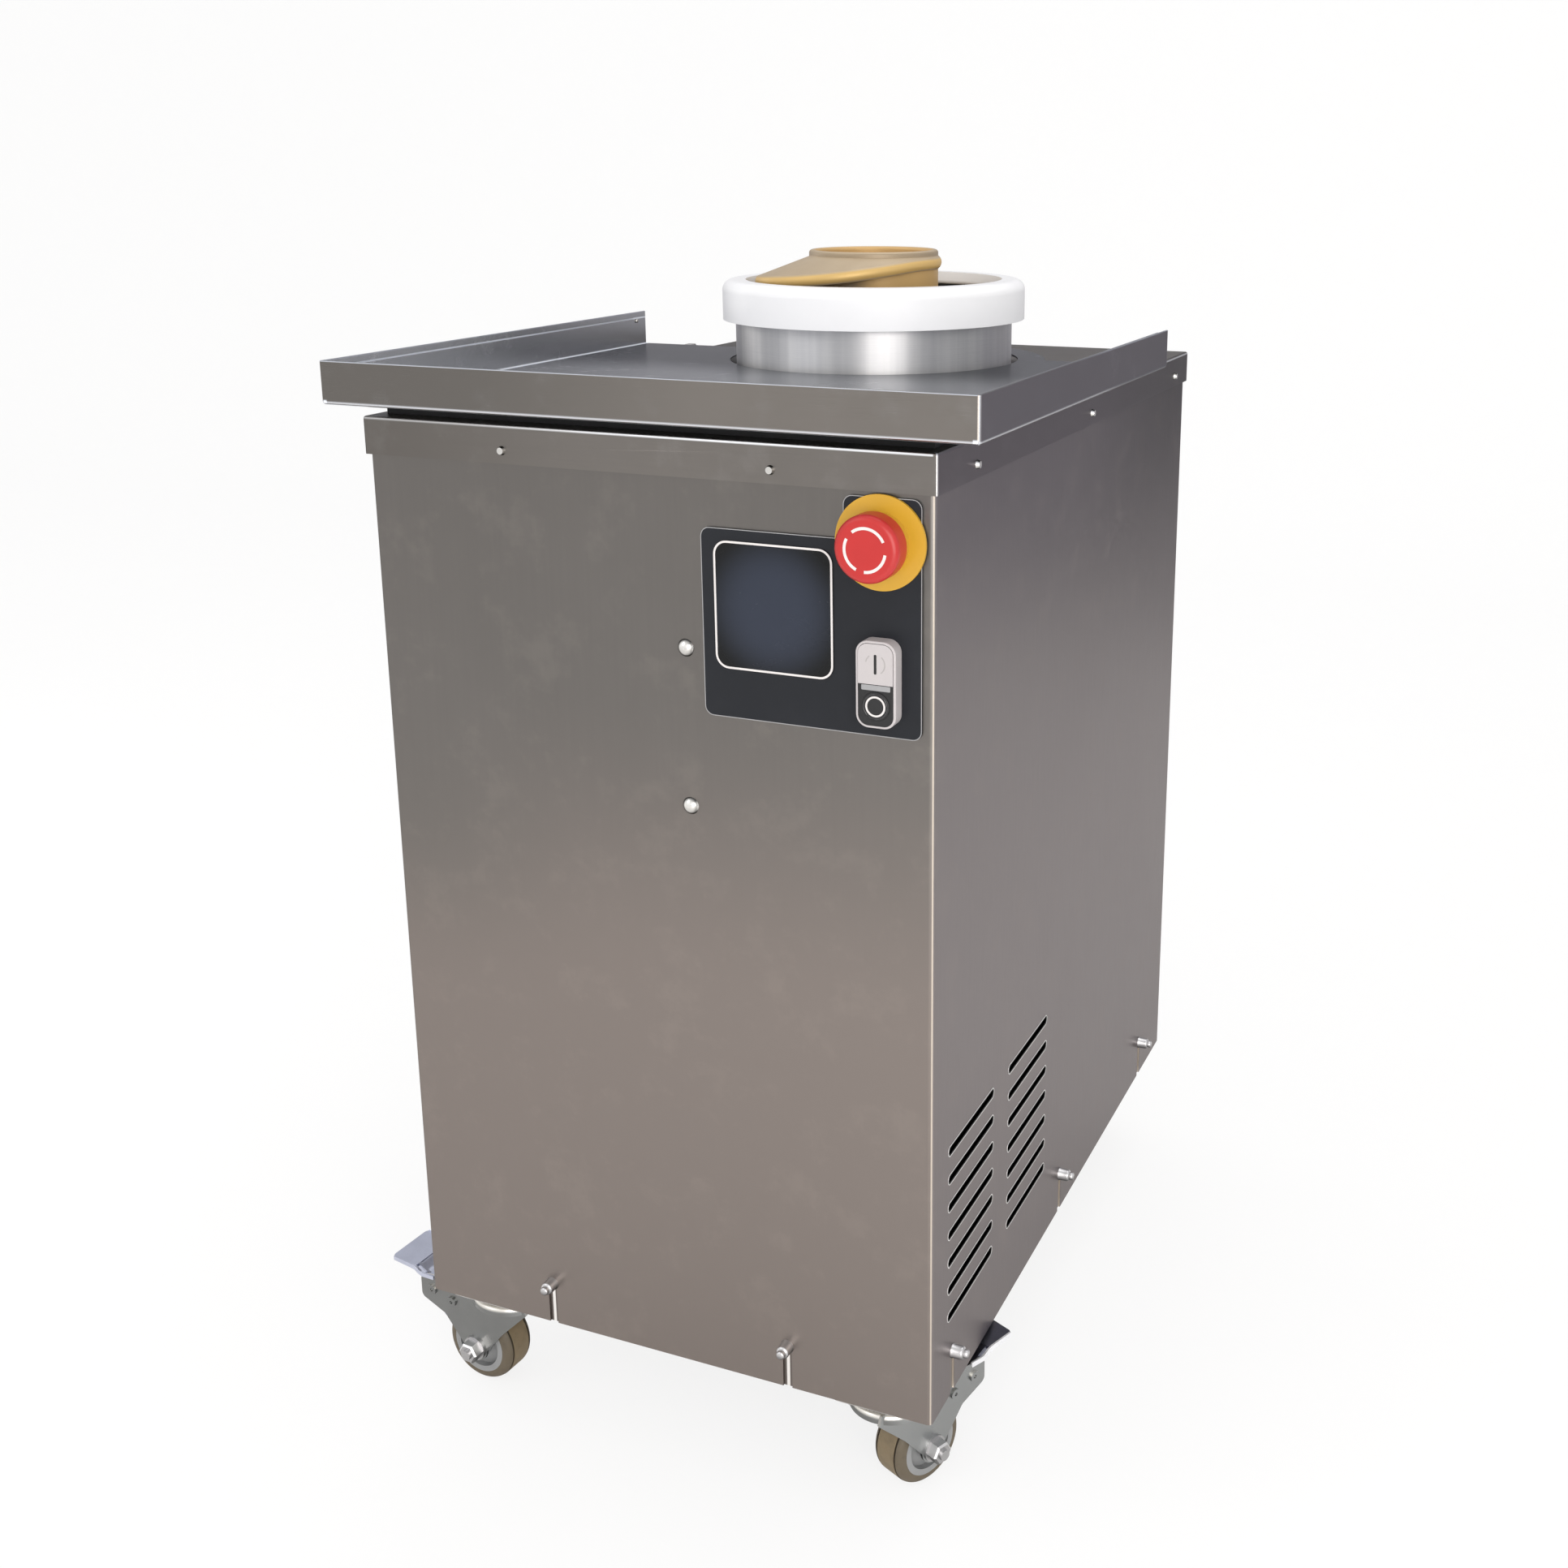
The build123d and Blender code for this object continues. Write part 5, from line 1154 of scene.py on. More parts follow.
# Drum steel, with painted shade for its inside.
DRUM = TurnedSteel("drum_steel", srgb(248, 247, 246), srgb(186, 186, 190), srgb(58, 58, 60))
ZINC = BrightSteel("zinc_plate", srgb(206, 204, 202), srgb(150, 148, 146), 0.28, 0.7, 0.8)
CASTER_ZINC = PressedZinc("caster_zinc", srgb(132, 133, 132), srgb(152, 154, 154), srgb(246, 242, 234))
# Lit and shaded copies of one pedal zinc, as painted light and shade: the front left pedal is lighter and the
# front right darker. The near-white lip finish is a painted highlight on the front right pedal's rolled lips.
PEDAL_LIT = BrightSteel("pedal_lit", srgb(210, 214, 230), srgb(178, 182, 198), 0.36, 0.9, 0.4)
PEDAL_SHADED = BrightSteel("pedal_shaded", srgb(134, 136, 150), srgb(106, 108, 121), 0.34, 0.9, 0.4)
LIP_HIGHLIGHT = BrightSteel("pedal_lip", srgb(240, 241, 244), srgb(216, 217, 221), 0.3, 0.6, 0.3, 0.4)
CHROME = ShadedChrome("chrome", srgb(212, 211, 212), srgb(60, 59, 60))
DOME = DomedSteel("dome_steel", srgb(250, 248, 244), srgb(52, 51, 50))
# Painted shade and painted highlight: a near-black band round each vent and a near-white band round that.
VENT_SHADE_BAND = Plastic("vent_shade_band", srgb(15, 14, 14), 0.7, 0.1)
VENT_HIGHLIGHT_BAND = BrightSteel("vent_highlight_band", srgb(240, 239, 238), srgb(224, 223, 222), 0.5, 0.6, 0.3)
SCREW = BrightSteel("screw_steel", srgb(226, 223, 218), srgb(160, 156, 150), 0.18, 0.4, 0.4)
# Dark paint on the frame and the parts inside, taken down to near black as painted shade for what shows
# through the vents and under the tray.
FRAME_PAINT = PaintedPlate("frame_paint", srgb(26, 26, 28), srgb(44, 43, 42))
PLATE_BLACK = PaintedPlate("plate_black", srgb(26, 28, 33), srgb(35, 37, 43))
TRIM_GREY = Plastic("plate_trim", srgb(146, 146, 148), 0.4, 0.05)
RING_WHITE = Plastic("ring_white", srgb(240, 240, 242), 0.34, 0.02, 0.9, 0.02)
YELLOW = Plastic("estop_yellow", srgb(193, 150, 44), 0.36, 0.06)
RED = Plastic("estop_red", srgb(174, 35, 34), 0.34, 0.06)
PALE = Plastic("button_pale", srgb(178, 173, 174), 0.36, 0.03)
MARK_WHITE = Plastic("mark_white", srgb(208, 204, 203), 0.45, 0.02)
FAINT_MARK = Plastic("mark_faint", srgb(158, 154, 153), 0.45, 0.04)
BLACK = Plastic("switch_black", srgb(22, 22, 24), 0.5, 0.2)
GLOSS_BLACK = Plastic("gloss_black", srgb(40, 40, 43), 0.16, 0.1, 0.6, 0.01, 0.4)
DARK_MARK = Plastic("mark_black", srgb(14, 14, 16), 0.6, 0.1)
HUB_GREY = Plastic("caster_hub", srgb(138, 139, 140), 0.44, 0.08, 1.2, 0.04)
MOTOR_GREY = Plastic("motor_paint", srgb(112, 118, 124), 0.45, 0.12, 1.0, 0.05)
COWL_GREY = Plastic("cowl_grey", srgb(64, 66, 69), 0.5, 0.12, 1.0, 0.05)
BELT = BeltRubber("belt_rubber", srgb(34, 34, 34), srgb(70, 68, 66), 0.65)
BRONZE = CoatedBronze()


class Mesh:
    """Collects points and faces in millimetres and turns them into one piece."""

    def __init__(self) -> None:
        """Starts empty."""
        self.points: list[Point] = []
        self.faces: list[tuple[int, ...]] = []

    def put(self, points: Iterable[Vector]) -> int:
        """Adds points.

        Args:
            points: The points in the part's frame, in millimetres.

        Returns:
            The index of the first one.
        """
        first = len(self.points)
        self.points.extend((point.x, point.y, point.z) for point in points)
        return first

    def bridge(self, low: int, high: int, count: int) -> None:
        """Joins two rings of points with faces.

        Args:
            low: Index of the first ring's first point.
            high: Index of the second ring's first point.
            count: Points in each ring.
        """
        for step in range(count):
            after = (step + 1) % count
            self.faces.append((low + step, low + after, high + after, high + step))

    def cap_ends(self, low: int, high: int, count: int) -> None:
        """Closes the first and the last ring of a form.

        Args:
            low: Index of the first ring's first point.
            high: Index of the last ring's first point.
            count: Points in each ring.
        """
        self.faces.append(tuple(low + step for step in reversed(range(count))))
        self.faces.append(tuple(high + step for step in range(count)))

    def lathe(self, place: Matrix, profile: Sequence[Flat], steps: int = 64, closed: bool = False) -> None:
        """Adds a turned form about the place's own Z axis.

        Args:
            place: Where it stands.
            profile: Pairs of radius and height, from one end to the other.
            steps: Number of steps round the axis.
            closed: True where the profile returns to its start.
        """
        turns = [2 * math.pi * step / steps for step in range(steps)]
        first = self.put(
            place @ Vector((radius * math.cos(turn), radius * math.sin(turn), height))
            for radius, height in profile
            for turn in turns
        )
        rows = len(profile)
        for row in range(rows if closed else rows - 1):
            self.bridge(first + row * steps, first + (row + 1) % rows * steps, steps)
        if not closed:
            self.cap_ends(first, first + (rows - 1) * steps, steps)

    def prism(
        self, place: Matrix, outline: Sequence[Flat], low: float, high: float, round_off: float = 0.0
    ) -> None:
        """Adds a flat piece with the given outline.

        Args:
            place: Where it lies, with its own Z as its thickness.
            outline: Its corners in order, counter-clockwise.
            low: Its lower face.
            high: Its upper face.
            round_off: How far its upper edge is softened.
        """
        rings = [(low, 0.0), (high - round_off, 0.0)]
        if round_off:
            rings.append((high, round_off))
        count = len(outline)
        first = len(self.points)
        for height, inward in rings:
            self.put(place @ Vector((x, y, height)) for x, y in inset(outline, inward))
        last = first + (len(rings) - 1) * count
        for base in range(first, last, count):
            self.bridge(base, base + count, count)
        self.cap_ends(first, last, count)

    def band(self, place: Matrix, outline: Sequence[Flat], width: float, low: float, high: float) -> None:
        """Adds a closed raised line of even width, inside the outline.

        Args:
            place: Where it lies.
            outline: Its outer edge, counter-clockwise.
            width: Its width.
            low: Its lower face.
            high: Its upper face.
        """
        count = len(outline)
        inner = inset(outline, width)
        rings = [(outline, low), (outline, high), (inner, high), (inner, low)]
        starts = [self.put(place @ Vector((x, y, height)) for x, y in edge) for edge, height in rings]
        for row, start in enumerate(starts):
            self.bridge(start, starts[(row + 1) % len(starts)], count)

    def piece(self, name: str, finish: Finish, smooth: float = 35.0) -> bpy.types.Object:
        """Turns what was added into one object.

        Args:
            name: The object's name.
            finish: Its finish.
            smooth: Edges up to this angle in degrees are shaded smooth, and the others stay sharp.

        Returns:
            The object, in the part's frame.
        """
        data = bpy.data.meshes.new(name)
        data.from_pydata([tuple(part * MM for part in point) for point in self.points], [], self.faces)
        data.validate()
        data.shade_smooth()
        data.set_sharp_from_angle(angle=math.radians(smooth))
        data.materials.append(finish.material())
        made = bpy.data.objects.new(name, data)
        bpy.context.scene.collection.objects.link(made)
        return made


def inset(outline: Sequence[Flat], amount: float, sharpest: float = 0.3) -> list[Flat]:
    """Outline moved inwards by an even amount.

    Args:
        outline: Corners in order, counter-clockwise.
        amount: How far to move.
        sharpest: Limits how far the point of a sharp corner moves.

    Returns:
        The new corners.
    """
    if not amount:
        return list(outline)
    moved = []
    for index, point in enumerate(outline):
        here = Vector(point)
        before = (here - Vector(outline[index - 1])).normalized()
        after = (Vector(outline[(index + 1) % len(outline)]) - here).normalized()
        inward = Vector((-before.y - after.y, before.x + after.x)).normalized()
        reach = amount / max(sharpest, inward.dot(Vector((-before.y, before.x))))
        moved.append((here.x + inward.x * reach, here.y + inward.y * reach))
    return moved


def rounded(width: float, height: float, radius: float, steps: int = 8) -> list[Flat]:
    """Rectangle with round corners, about its middle.

    Args:
        width: Whole width.
        height: Whole height.
        radius: Radius of its corners.
        steps: Steps in each corner.

    Returns:
        Its corners, counter-clockwise.
    """
    outline = []
    for quarter, (across, up) in enumerate(((1, 1), (-1, 1), (-1, -1), (1, -1))):
        for step in range(steps + 1):
            turn = math.pi / 2 * (quarter + step / steps)
            x = across * (width / 2 - radius) + radius * math.cos(turn)
            outline.append((x, up * (height / 2 - radius) + radius * math.sin(turn)))
    return outline


def filleted(corners: Sequence[Flat], radius: float, steps: int = 6) -> list[Flat]:
    """Outline of square corners, each rounded inwards or outwards.

    Args:
        corners: Corners in order, counter-clockwise, each a right angle.
        radius: Radius of the rounding.
        steps: Steps in each rounding.

    Returns:
        The rounded outline.
    """
    outline = []
    for index, corner in enumerate(corners):
        here = Vector(corner)
        before = (here - Vector(corners[index - 1])).normalized() * radius
        after = (Vector(corners[(index + 1) % len(corners)]) - here).normalized() * radius
        for step in range(steps + 1):
            turn = math.pi / 2 * step / steps
            point = here - before + after + before * math.sin(turn) - after * math.cos(turn)
            outline.append((point.x, point.y))
    return outline


def arc_strip(radius: float, width: float, start: float, end: float, steps: int = 20) -> list[Flat]:
    """Outline of an arc-shaped mark.

    Args:
        radius: Radius at the middle of its width.
        width: Its width.
        start: Where it starts, in degrees.
        end: Where it ends, in degrees.
        steps: Steps along it.

    Returns:
        Its corners, counter-clockwise.
    """
    turns = [math.radians(start + (end - start) * step / steps) for step in range(steps + 1)]
    outer, inner = (
        [(reach * math.cos(turn), reach * math.sin(turn)) for turn in turns]
        for reach in (radius + width / 2, radius - width / 2)
    )
    return outer + inner[::-1]


def front_place(x: float, y: float, z: float) -> Matrix:
    """Place on the front: its X to the right, its Y up and its Z out of the panel.

    Args:
        x: Position across.
        y: Position along the depth.
        z: Height.

    Returns:
        The place.
    """
    axes = Matrix(((1, 0, 0), (0, 0, -1), (0, 1, 0))).to_4x4()
    return Matrix.Translation((x, y, z)) @ axes


def side_place(x: float, y: float, z: float) -> Matrix:
    """Place on a side: its Y up and its Z outwards, away from the middle.

    Args:
        x: Position across, which says which side it is.
        y: Position along the depth.
        z: Height.

    Returns:
        The place.
    """
    out = math.copysign(1.0, x)
    axes = Matrix(((0, 0, out), (out, 0, 0), (0, 1, 0))).to_4x4()
    return Matrix.Translation((x, y, z)) @ axes


def span(node: str) -> tuple[Vector, Vector]:
    """Lowest and highest corner of a CAD node at rest, in millimetres."""
    low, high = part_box(node)
    return Vector(low) / MM, Vector(high) / MM


def face_of(node: str) -> Matrix:
    """Place in the middle of a CAD node's front face.

    Args:
        node: The node.

    Returns:
        The place.
    """
    low, high = span(node)
    middle = (low + high) / 2
    return front_place(middle.x, low.y, middle.z)


@dataclass
class Assembly:
    """Part of the machine that dresses CAD nodes and adds pieces to them."""

    nodes: dict[str, bpy.types.Object]

    def build(self) -> None:
        """Dresses the part and adds its pieces."""
        raise NotImplementedError

    def dress(self, finish: Finish, *names: str) -> None:
        """Gives CAD nodes a finish.

        Args:
            finish: The finish.
            names: The nodes.
        """
        for name in names:
            data = self.nodes[name].data
            data.materials.clear()
            data.materials.append(finish.material())
            LOG.info("dressed %s in %s", name, finish.name)

    def fit(self, piece: bpy.types.Object, body: str, slot: str, *replaced: str) -> None:
        """Fixes a piece to a body.

        Args:
            piece: The piece.
            body: The body that it moves with.
            slot: Not used.
            replaced: CAD nodes that it stands for.
        """
        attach(piece, body)
        if replaced:
            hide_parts(*replaced)
        LOG.info("fitted %s to %s", piece.name, body)


@dataclass
class Cabinet(Assembly):
    """Steel cabinet with its cap, base pan, vents and fasteners."""

    bend: float = 3.5
    cap_rim: Flat = (2.0, 0.8)
    vent: Flat = (86.0, 5.0)
    vent_rows: int = 7
    vent_pitch: float = 20.8
    vent_columns: tuple[float, ...] = (-222.5, -103.5)
    vent_height: float = 215.5
    # Widths of the band of painted shade round each vent and of the band of painted highlight round that.
    vent_shade_band: float = 0.9
    vent_highlight_band: float = 0.6
    vent_proud: float = 0.3
    vent_sink: float = 0.3
    stud_height: float = 122.0
    stud_reach: float = 12.0
    stud_across: tuple[float, ...] = (-94.0, 94.0)
    stud_along: tuple[float, ...] = (-256.0, -17.0, 222.0)
    stud_steps: int = 40
    stud_profile: tuple[Flat, ...] = (
        *((3.0, -3.4), (3.0, 0.0), (5.1, 0.0), (5.0, 0.8), (4.7, 1.5), (4.6, 7.0)),
        *((4.4, 7.8), (3.8, 8.4), (3.0, 8.7), (3.0, 10.8), (2.7, 11.4), (1.9, 11.9)),
    )

    def build(self) -> None:
        """Dresses the cabinet, edges its vents and puts the nuts on its studs."""
        self.dress(self.panel(), "body_wrap")
        self.dress(REAR_STEEL, "rear_panel")
        self.dress(self.cap(), "top_cap")
        self.dress(ZINC, "cap_pads")
        self.dress(self.pan(), "base_pan")
        self.dress(FRAME_PAINT, "frame_posts", "deck_rails", "drive_deck", "tray_spacers")
        self.dress(DOME, "cap_screws", "front_screws")
        self.dress(CHROME, "base_studs")
        self.dress(ZINC, "deck_bolts", "caster_plates")
        self.dress(BLACK, "cable_gland")
        self.edge_vents()
        self.sleeve_studs()

    def panel(self) -> FoldedSteel:
        """Finish of the wrap.

        Returns:
            The finish, fitted to the wrap's size.
        """
        low, high = span("body_wrap")
        return FoldedSteel(
            name="panel_steel",
            light=srgb(121, 117, 114),
            dark=srgb(109, 106, 103),
            grain=Axis.Z,
            roughness=0.38,
            half_width=high.x,
            front=low.y,
            bend=self.bend,
        )

    def cap(self) -> FoldedSteel:
        """Finish of the cap, whose skirt has a painted highlight along its upper edge that dims to the left,
        and painted shade to the left of its front.

        Returns:
            The finish, fitted to the cap's size.
        """
        low, high = span("top_cap")
        rim_low, rim_high = self.cap_rim
        return FoldedSteel(
            name="cap_steel",
            light=srgb(130, 125, 121),
            dark=srgb(118, 114, 110),
            grain=Axis.X,
            smudge_and_highlight=srgb(226, 227, 229),
            half_width=high.x,
            front=low.y,
            bend=self.bend,
            rims=((high.z - rim_low, high.z - rim_high),),
            shade=srgb(118, 112, 118),
            edge=srgb(106, 102, 98),
            dull=0.7,
        )

    def pan(self) -> SlottedPan:
        """Finish of the base pan.

        Returns:
            The finish, fitted to the studs' slots.
        """
        return SlottedPan(
            name="galvanised_sheet",
            light=srgb(150, 148, 147),
            dark=srgb(118, 117, 116),
            # Painted shade and painted highlight behind the studs' slots.
            slot_shade=srgb(112, 105, 101),
            painted_white_highlight=srgb(244, 241, 238),
            slots=max(self.stud_across),
        )

    def edge_vents(self) -> None:
        """Puts a band of painted shade round each vent, and a thin band of painted highlight round that."""
        _, high = span("body_wrap")
        lip_edge = self.vent_edge(self.vent_shade_band)
        rim_edge = self.vent_edge(self.vent_shade_band + self.vent_highlight_band)
        lowest = self.vent_height - (self.vent_rows - 1) / 2 * self.vent_pitch
        for side in Side:
            lips, rims = Mesh(), Mesh()
            for row in range(self.vent_rows):
                for column in self.vent_columns:
                    place = side_place(side.value * high.x, column, lowest + row * self.vent_pitch)
                    lips.band(place, lip_edge, self.vent_shade_band, -self.vent_sink, self.vent_proud / 2)
                    rims.band(place, rim_edge, self.vent_highlight_band, -self.vent_sink, self.vent_proud)
            name = side.name.lower()
            self.fit(lips.piece(f"vent_shade_bands_{name}", VENT_SHADE_BAND), "cabinet", "panel_steel")
            self.fit(rims.piece(f"vent_highlight_bands_{name}", VENT_HIGHLIGHT_BAND), "cabinet", "panel_steel")

    def vent_edge(self, grown: float, slack: float = 0.01) -> list[Flat]:
        """Outline of a vent, grown by an even amount.

        Args:
            grown: How far it is grown.
            slack: Keeps the two round ends from meeting in one point.

        Returns:
            Its corners, counter-clockwise.
        """
        length, width = self.vent
        return rounded(length + 2 * grown, width + 2 * grown, width / 2 + grown - slack)

    def sleeve_studs(self) -> None:
        """Puts a round sleeve nut on each stud along the bottom edge."""
        low, high = span("base_studs")
        walls = [front_place(x, low.y + self.stud_reach, self.stud_height) for x in self.stud_across]
        turn = Matrix.Rotation(math.pi, 4, "Z")
        walls += [turn @ front_place(x, self.stud_reach - high.y, self.stud_height) for x in self.stud_across]
        for wall in (low.x + self.stud_reach, high.x - self.stud_reach):
            walls += [side_place(wall, y, self.stud_height) for y in self.stud_along]
        mesh = Mesh()
        for place in walls:
            mesh.lathe(place, self.stud_profile, self.stud_steps)
        self.fit(mesh.piece("stud_nuts", CHROME), "cabinet", "bright_steel", "base_studs")


@dataclass
class Drive(Assembly):
    """Motor, belt and shaft inside the cabinet."""

    def build(self) -> None:
        """Dresses the drive."""
        self.dress(MOTOR_GREY, "motor_housing")
        self.dress(COWL_GREY, "fan_cowl", "drive_controller")
        self.dress(BELT, "drive_belt")
        self.dress(FRAME_PAINT, "bearing_housing", "post_carrier")
        self.dress(ZINC, "drum_pulley", "motor_pulley")
        self.dress(SCREW, "drum_bearings", "auger_post", "drum_shaft", "shaft_nut", "motor_shaft")


@dataclass
class Rounder(Assembly):
    """Tray, drum, ring and auger."""

    bend: float = 2.5
    hem_rim: Flat = (0.4, 1.0)
    wall_end: float = 114.3
    pin_inset: Flat = (15.0, 7.4)
    pin_steps: int = 24
    pin_profile: tuple[Flat, ...] = ((0.8, 0.5), (0.8, 1.9), (1.6, 1.9), (1.6, 2.4), (1.3, 2.8), (0.6, 3.0))

    def build(self) -> None:
        """Dresses the rounding parts and sets the tray's pin."""
        self.dress(self.tray(), "tray")
        self.dress(DRUM, "drum")
        self.dress(RING_WHITE, "drum_ring")
        self.dress(BRONZE, "auger")
        self.pin_wall()

    def tray(self) -> TraySteel:
        """Finish of the tray, whose hem has a painted highlight along its upper edge.

        Returns:
            The finish, fitted to the tray's size.
        """
        low, high = span("tray")
        rim_low, rim_high = self.hem_rim
        return TraySteel(
            name="tray_steel",
            light=srgb(141, 135, 130),
            dark=srgb(128, 123, 118),
            grain=Axis.X,
            roughness=0.24,
            smears=0.025,
            smudge_and_highlight=srgb(226, 231, 240),
            glance=0.55,
            half_width=high.x,
            front=low.y,
            bend=self.bend,
            rims=((high.z - rim_low, high.z + rim_high),),
            shade=srgb(152, 148, 154),
            deep=srgb(142, 139, 145),
            inside_shade=srgb(130, 130, 134),
            wall_height=high.z,
        )

    def pin_wall(self) -> None:
        """Sets a small stop pin in the left wall, near the end of its hem."""
        low, high = span("tray")
        reach, drop = self.pin_inset
        place = side_place(low.x, self.wall_end - reach, high.z - drop) @ Matrix.Rotation(math.pi, 4, "Y")
        mesh = Mesh()
        mesh.lathe(place, self.pin_profile, self.pin_steps)
        self.fit(mesh.piece("wall_pin", SCREW), "cabinet", "bright_steel")


@dataclass
class Controls(Assembly):
    """Control plate with its screen, emergency stop and double button."""

    plate_corner: float = 6.0
    plate_column: float = 50.5
    plate_shoulder: float = 689.4
    trim: float = 0.5
    screen_corner: float = 9.0
    screen_line: float = 1.3
    line_sink: float = 0.4
    arc_radius: float = 12.9
    arc_width: float = 1.8
    arcs: tuple[Flat, ...] = ((25.0, 128.0), (152.0, 245.0), (268.0, 352.0))
    start_bar: Flat = (1.7, 12.2)
    start_bar_corner: float = 0.75
    start_arcs: tuple[Flat, ...] = ((-55.0, 50.0), (128.0, 168.0))
    start_arc_radius: float = 6.2
    start_arc_width: float = 0.7
    stop_ring: Flat = (5.3, 6.5)
    stop_rim: Flat = (7.2, 8.2)
    stop_rim_slope: float = 0.2
    stop_rim_crest: float = 0.4
    strip: Flat = (18.8, 3.4)
    strip_corner: float = 0.6
    strip_height: float = 602.1
    mark: float = 0.08
    mark_sink: float = 0.3

    def build(self) -> None:
        """Dresses the controls and marks them."""
        self.dress(PLATE_BLACK, "control_plate")
        self.dress(self.screen(), "display")
        self.dress(YELLOW, "estop_collar")
        self.dress(RED, "estop_cap")
        self.dress(PALE, "dual_button_bezel", "start_button")
        self.dress(BLACK, "estop_contacts", "estop_stem", "dual_button_body", "stop_button")
        self.edge_plate()
        self.line_screen()
        self.mark_stop_head()
        self.mark_start()
        self.mark_stop()
        self.lay_strip()

    def screen(self) -> TouchGlass:
        """Finish of the screen.

        Returns:
            The finish, fitted to the screen's size.
        """
        low, high = span("display")
        middle = (low + high) / 2
        return TouchGlass(
            name="screen_glass",
            middle=srgb(45, 50, 62),
            border=srgb(16, 17, 18),
            centre=(middle.x, middle.z),
            half=(high.x - low.x) / 2,
        )

    def edge_plate(self) -> None:
        """Lays a thin light band round the edge of the control plate."""
        low, high = span("control_plate")
        step = high.x - self.plate_column
        corners = [(low.x, low.z), (high.x, low.z), (high.x, high.z), (step, high.z)]
        corners += [(step, self.plate_shoulder), (low.x, self.plate_shoulder)]
        outline = filleted(corners, self.plate_corner)
        mesh = Mesh()
        mesh.band(front_place(0.0, low.y, 0.0), outline, self.trim, -self.line_sink, self.mark)
        self.fit(mesh.piece("plate_edge", TRIM_GREY), "cabinet", "zinc")

    def line_screen(self) -> None:
        """Draws the white line round the screen."""
        low, high = span("display")
        outline = rounded(high.x - low.x, high.z - low.z, self.screen_corner)
        mesh = Mesh()
        mesh.band(face_of("display"), outline, self.screen_line, -self.line_sink, 2 * self.mark)
        self.fit(mesh.piece("screen_line", MARK_WHITE), "cabinet", "button_white")

    def mark_stop_head(self) -> None:
        """Prints the three turn marks on the stop's head."""
        mesh = self.print_arcs("estop_cap", self.arcs, self.arc_radius, self.arc_width)
        self.fit(mesh.piece("stop_head_marks", MARK_WHITE), "estop_cap", "button_white")

    def mark_start(self) -> None:
        """Prints the start button's bar and the faint arcs round it."""
        bar = Mesh()
        outline = rounded(*self.start_bar, self.start_bar_corner)
        bar.prism(face_of("start_button"), outline, -self.mark_sink, self.mark)
        self.fit(bar.piece("start_bar", DARK_MARK), "start_button", "switch_black")
        arcs = self.print_arcs("start_button", self.start_arcs, self.start_arc_radius, self.start_arc_width)
        self.fit(arcs.piece("start_arcs", FAINT_MARK), "start_button", "button_white")

    def mark_stop(self) -> None:
        """Prints the stop button's ring and raises the glossy rim round it."""
        place = face_of("stop_button")
        inner, outer = self.stop_ring
        foot = -self.mark_sink
        ring = Mesh()
        ring.lathe(place, [(inner, foot), (outer, foot), (outer, self.mark), (inner, self.mark)], closed=True)
        self.fit(ring.piece("stop_ring", MARK_WHITE), "stop_button", "button_white")
        inner, outer = self.stop_rim
        slope = self.stop_rim_slope
        profile = [(inner, foot), (outer, foot), (outer - slope, slope)]
        profile += [((inner + outer) / 2, self.stop_rim_crest), (inner + slope, slope)]
        rim = Mesh()
        rim.lathe(place, profile, closed=True)
        self.fit(rim.piece("stop_rim", GLOSS_BLACK), "stop_button", "switch_black")

    def lay_strip(self) -> None:
        """Lays the bare strip between the two buttons."""
        low, _ = span("dual_button_body")
        across = face_of("stop_button").translation.x
        outline = rounded(*self.strip, self.strip_corner)
        mesh = Mesh()
        place = front_place(across, low.y, self.strip_height)
        mesh.prism(place, outline, -self.mark_sink, 2 * self.mark, self.mark)
        self.fit(mesh.piece("bare_strip", TRIM_GREY), "cabinet", "switch_black")

    def print_arcs(self, node: str, arcs: Sequence[Flat], radius: float, width: float) -> Mesh:
        """Prints arcs on the front face of a CAD node.

        Args:
            node: The node.
            arcs: Where each arc starts and ends, in degrees.
            radius: Radius at the middle of their width.
            width: Their width.

        Returns:
            The arcs.
        """
        mesh = Mesh()
        for start, end in arcs:
            mesh.prism(face_of(node), arc_strip(radius, width, start, end), -self.mark_sink, self.mark)
        return mesh


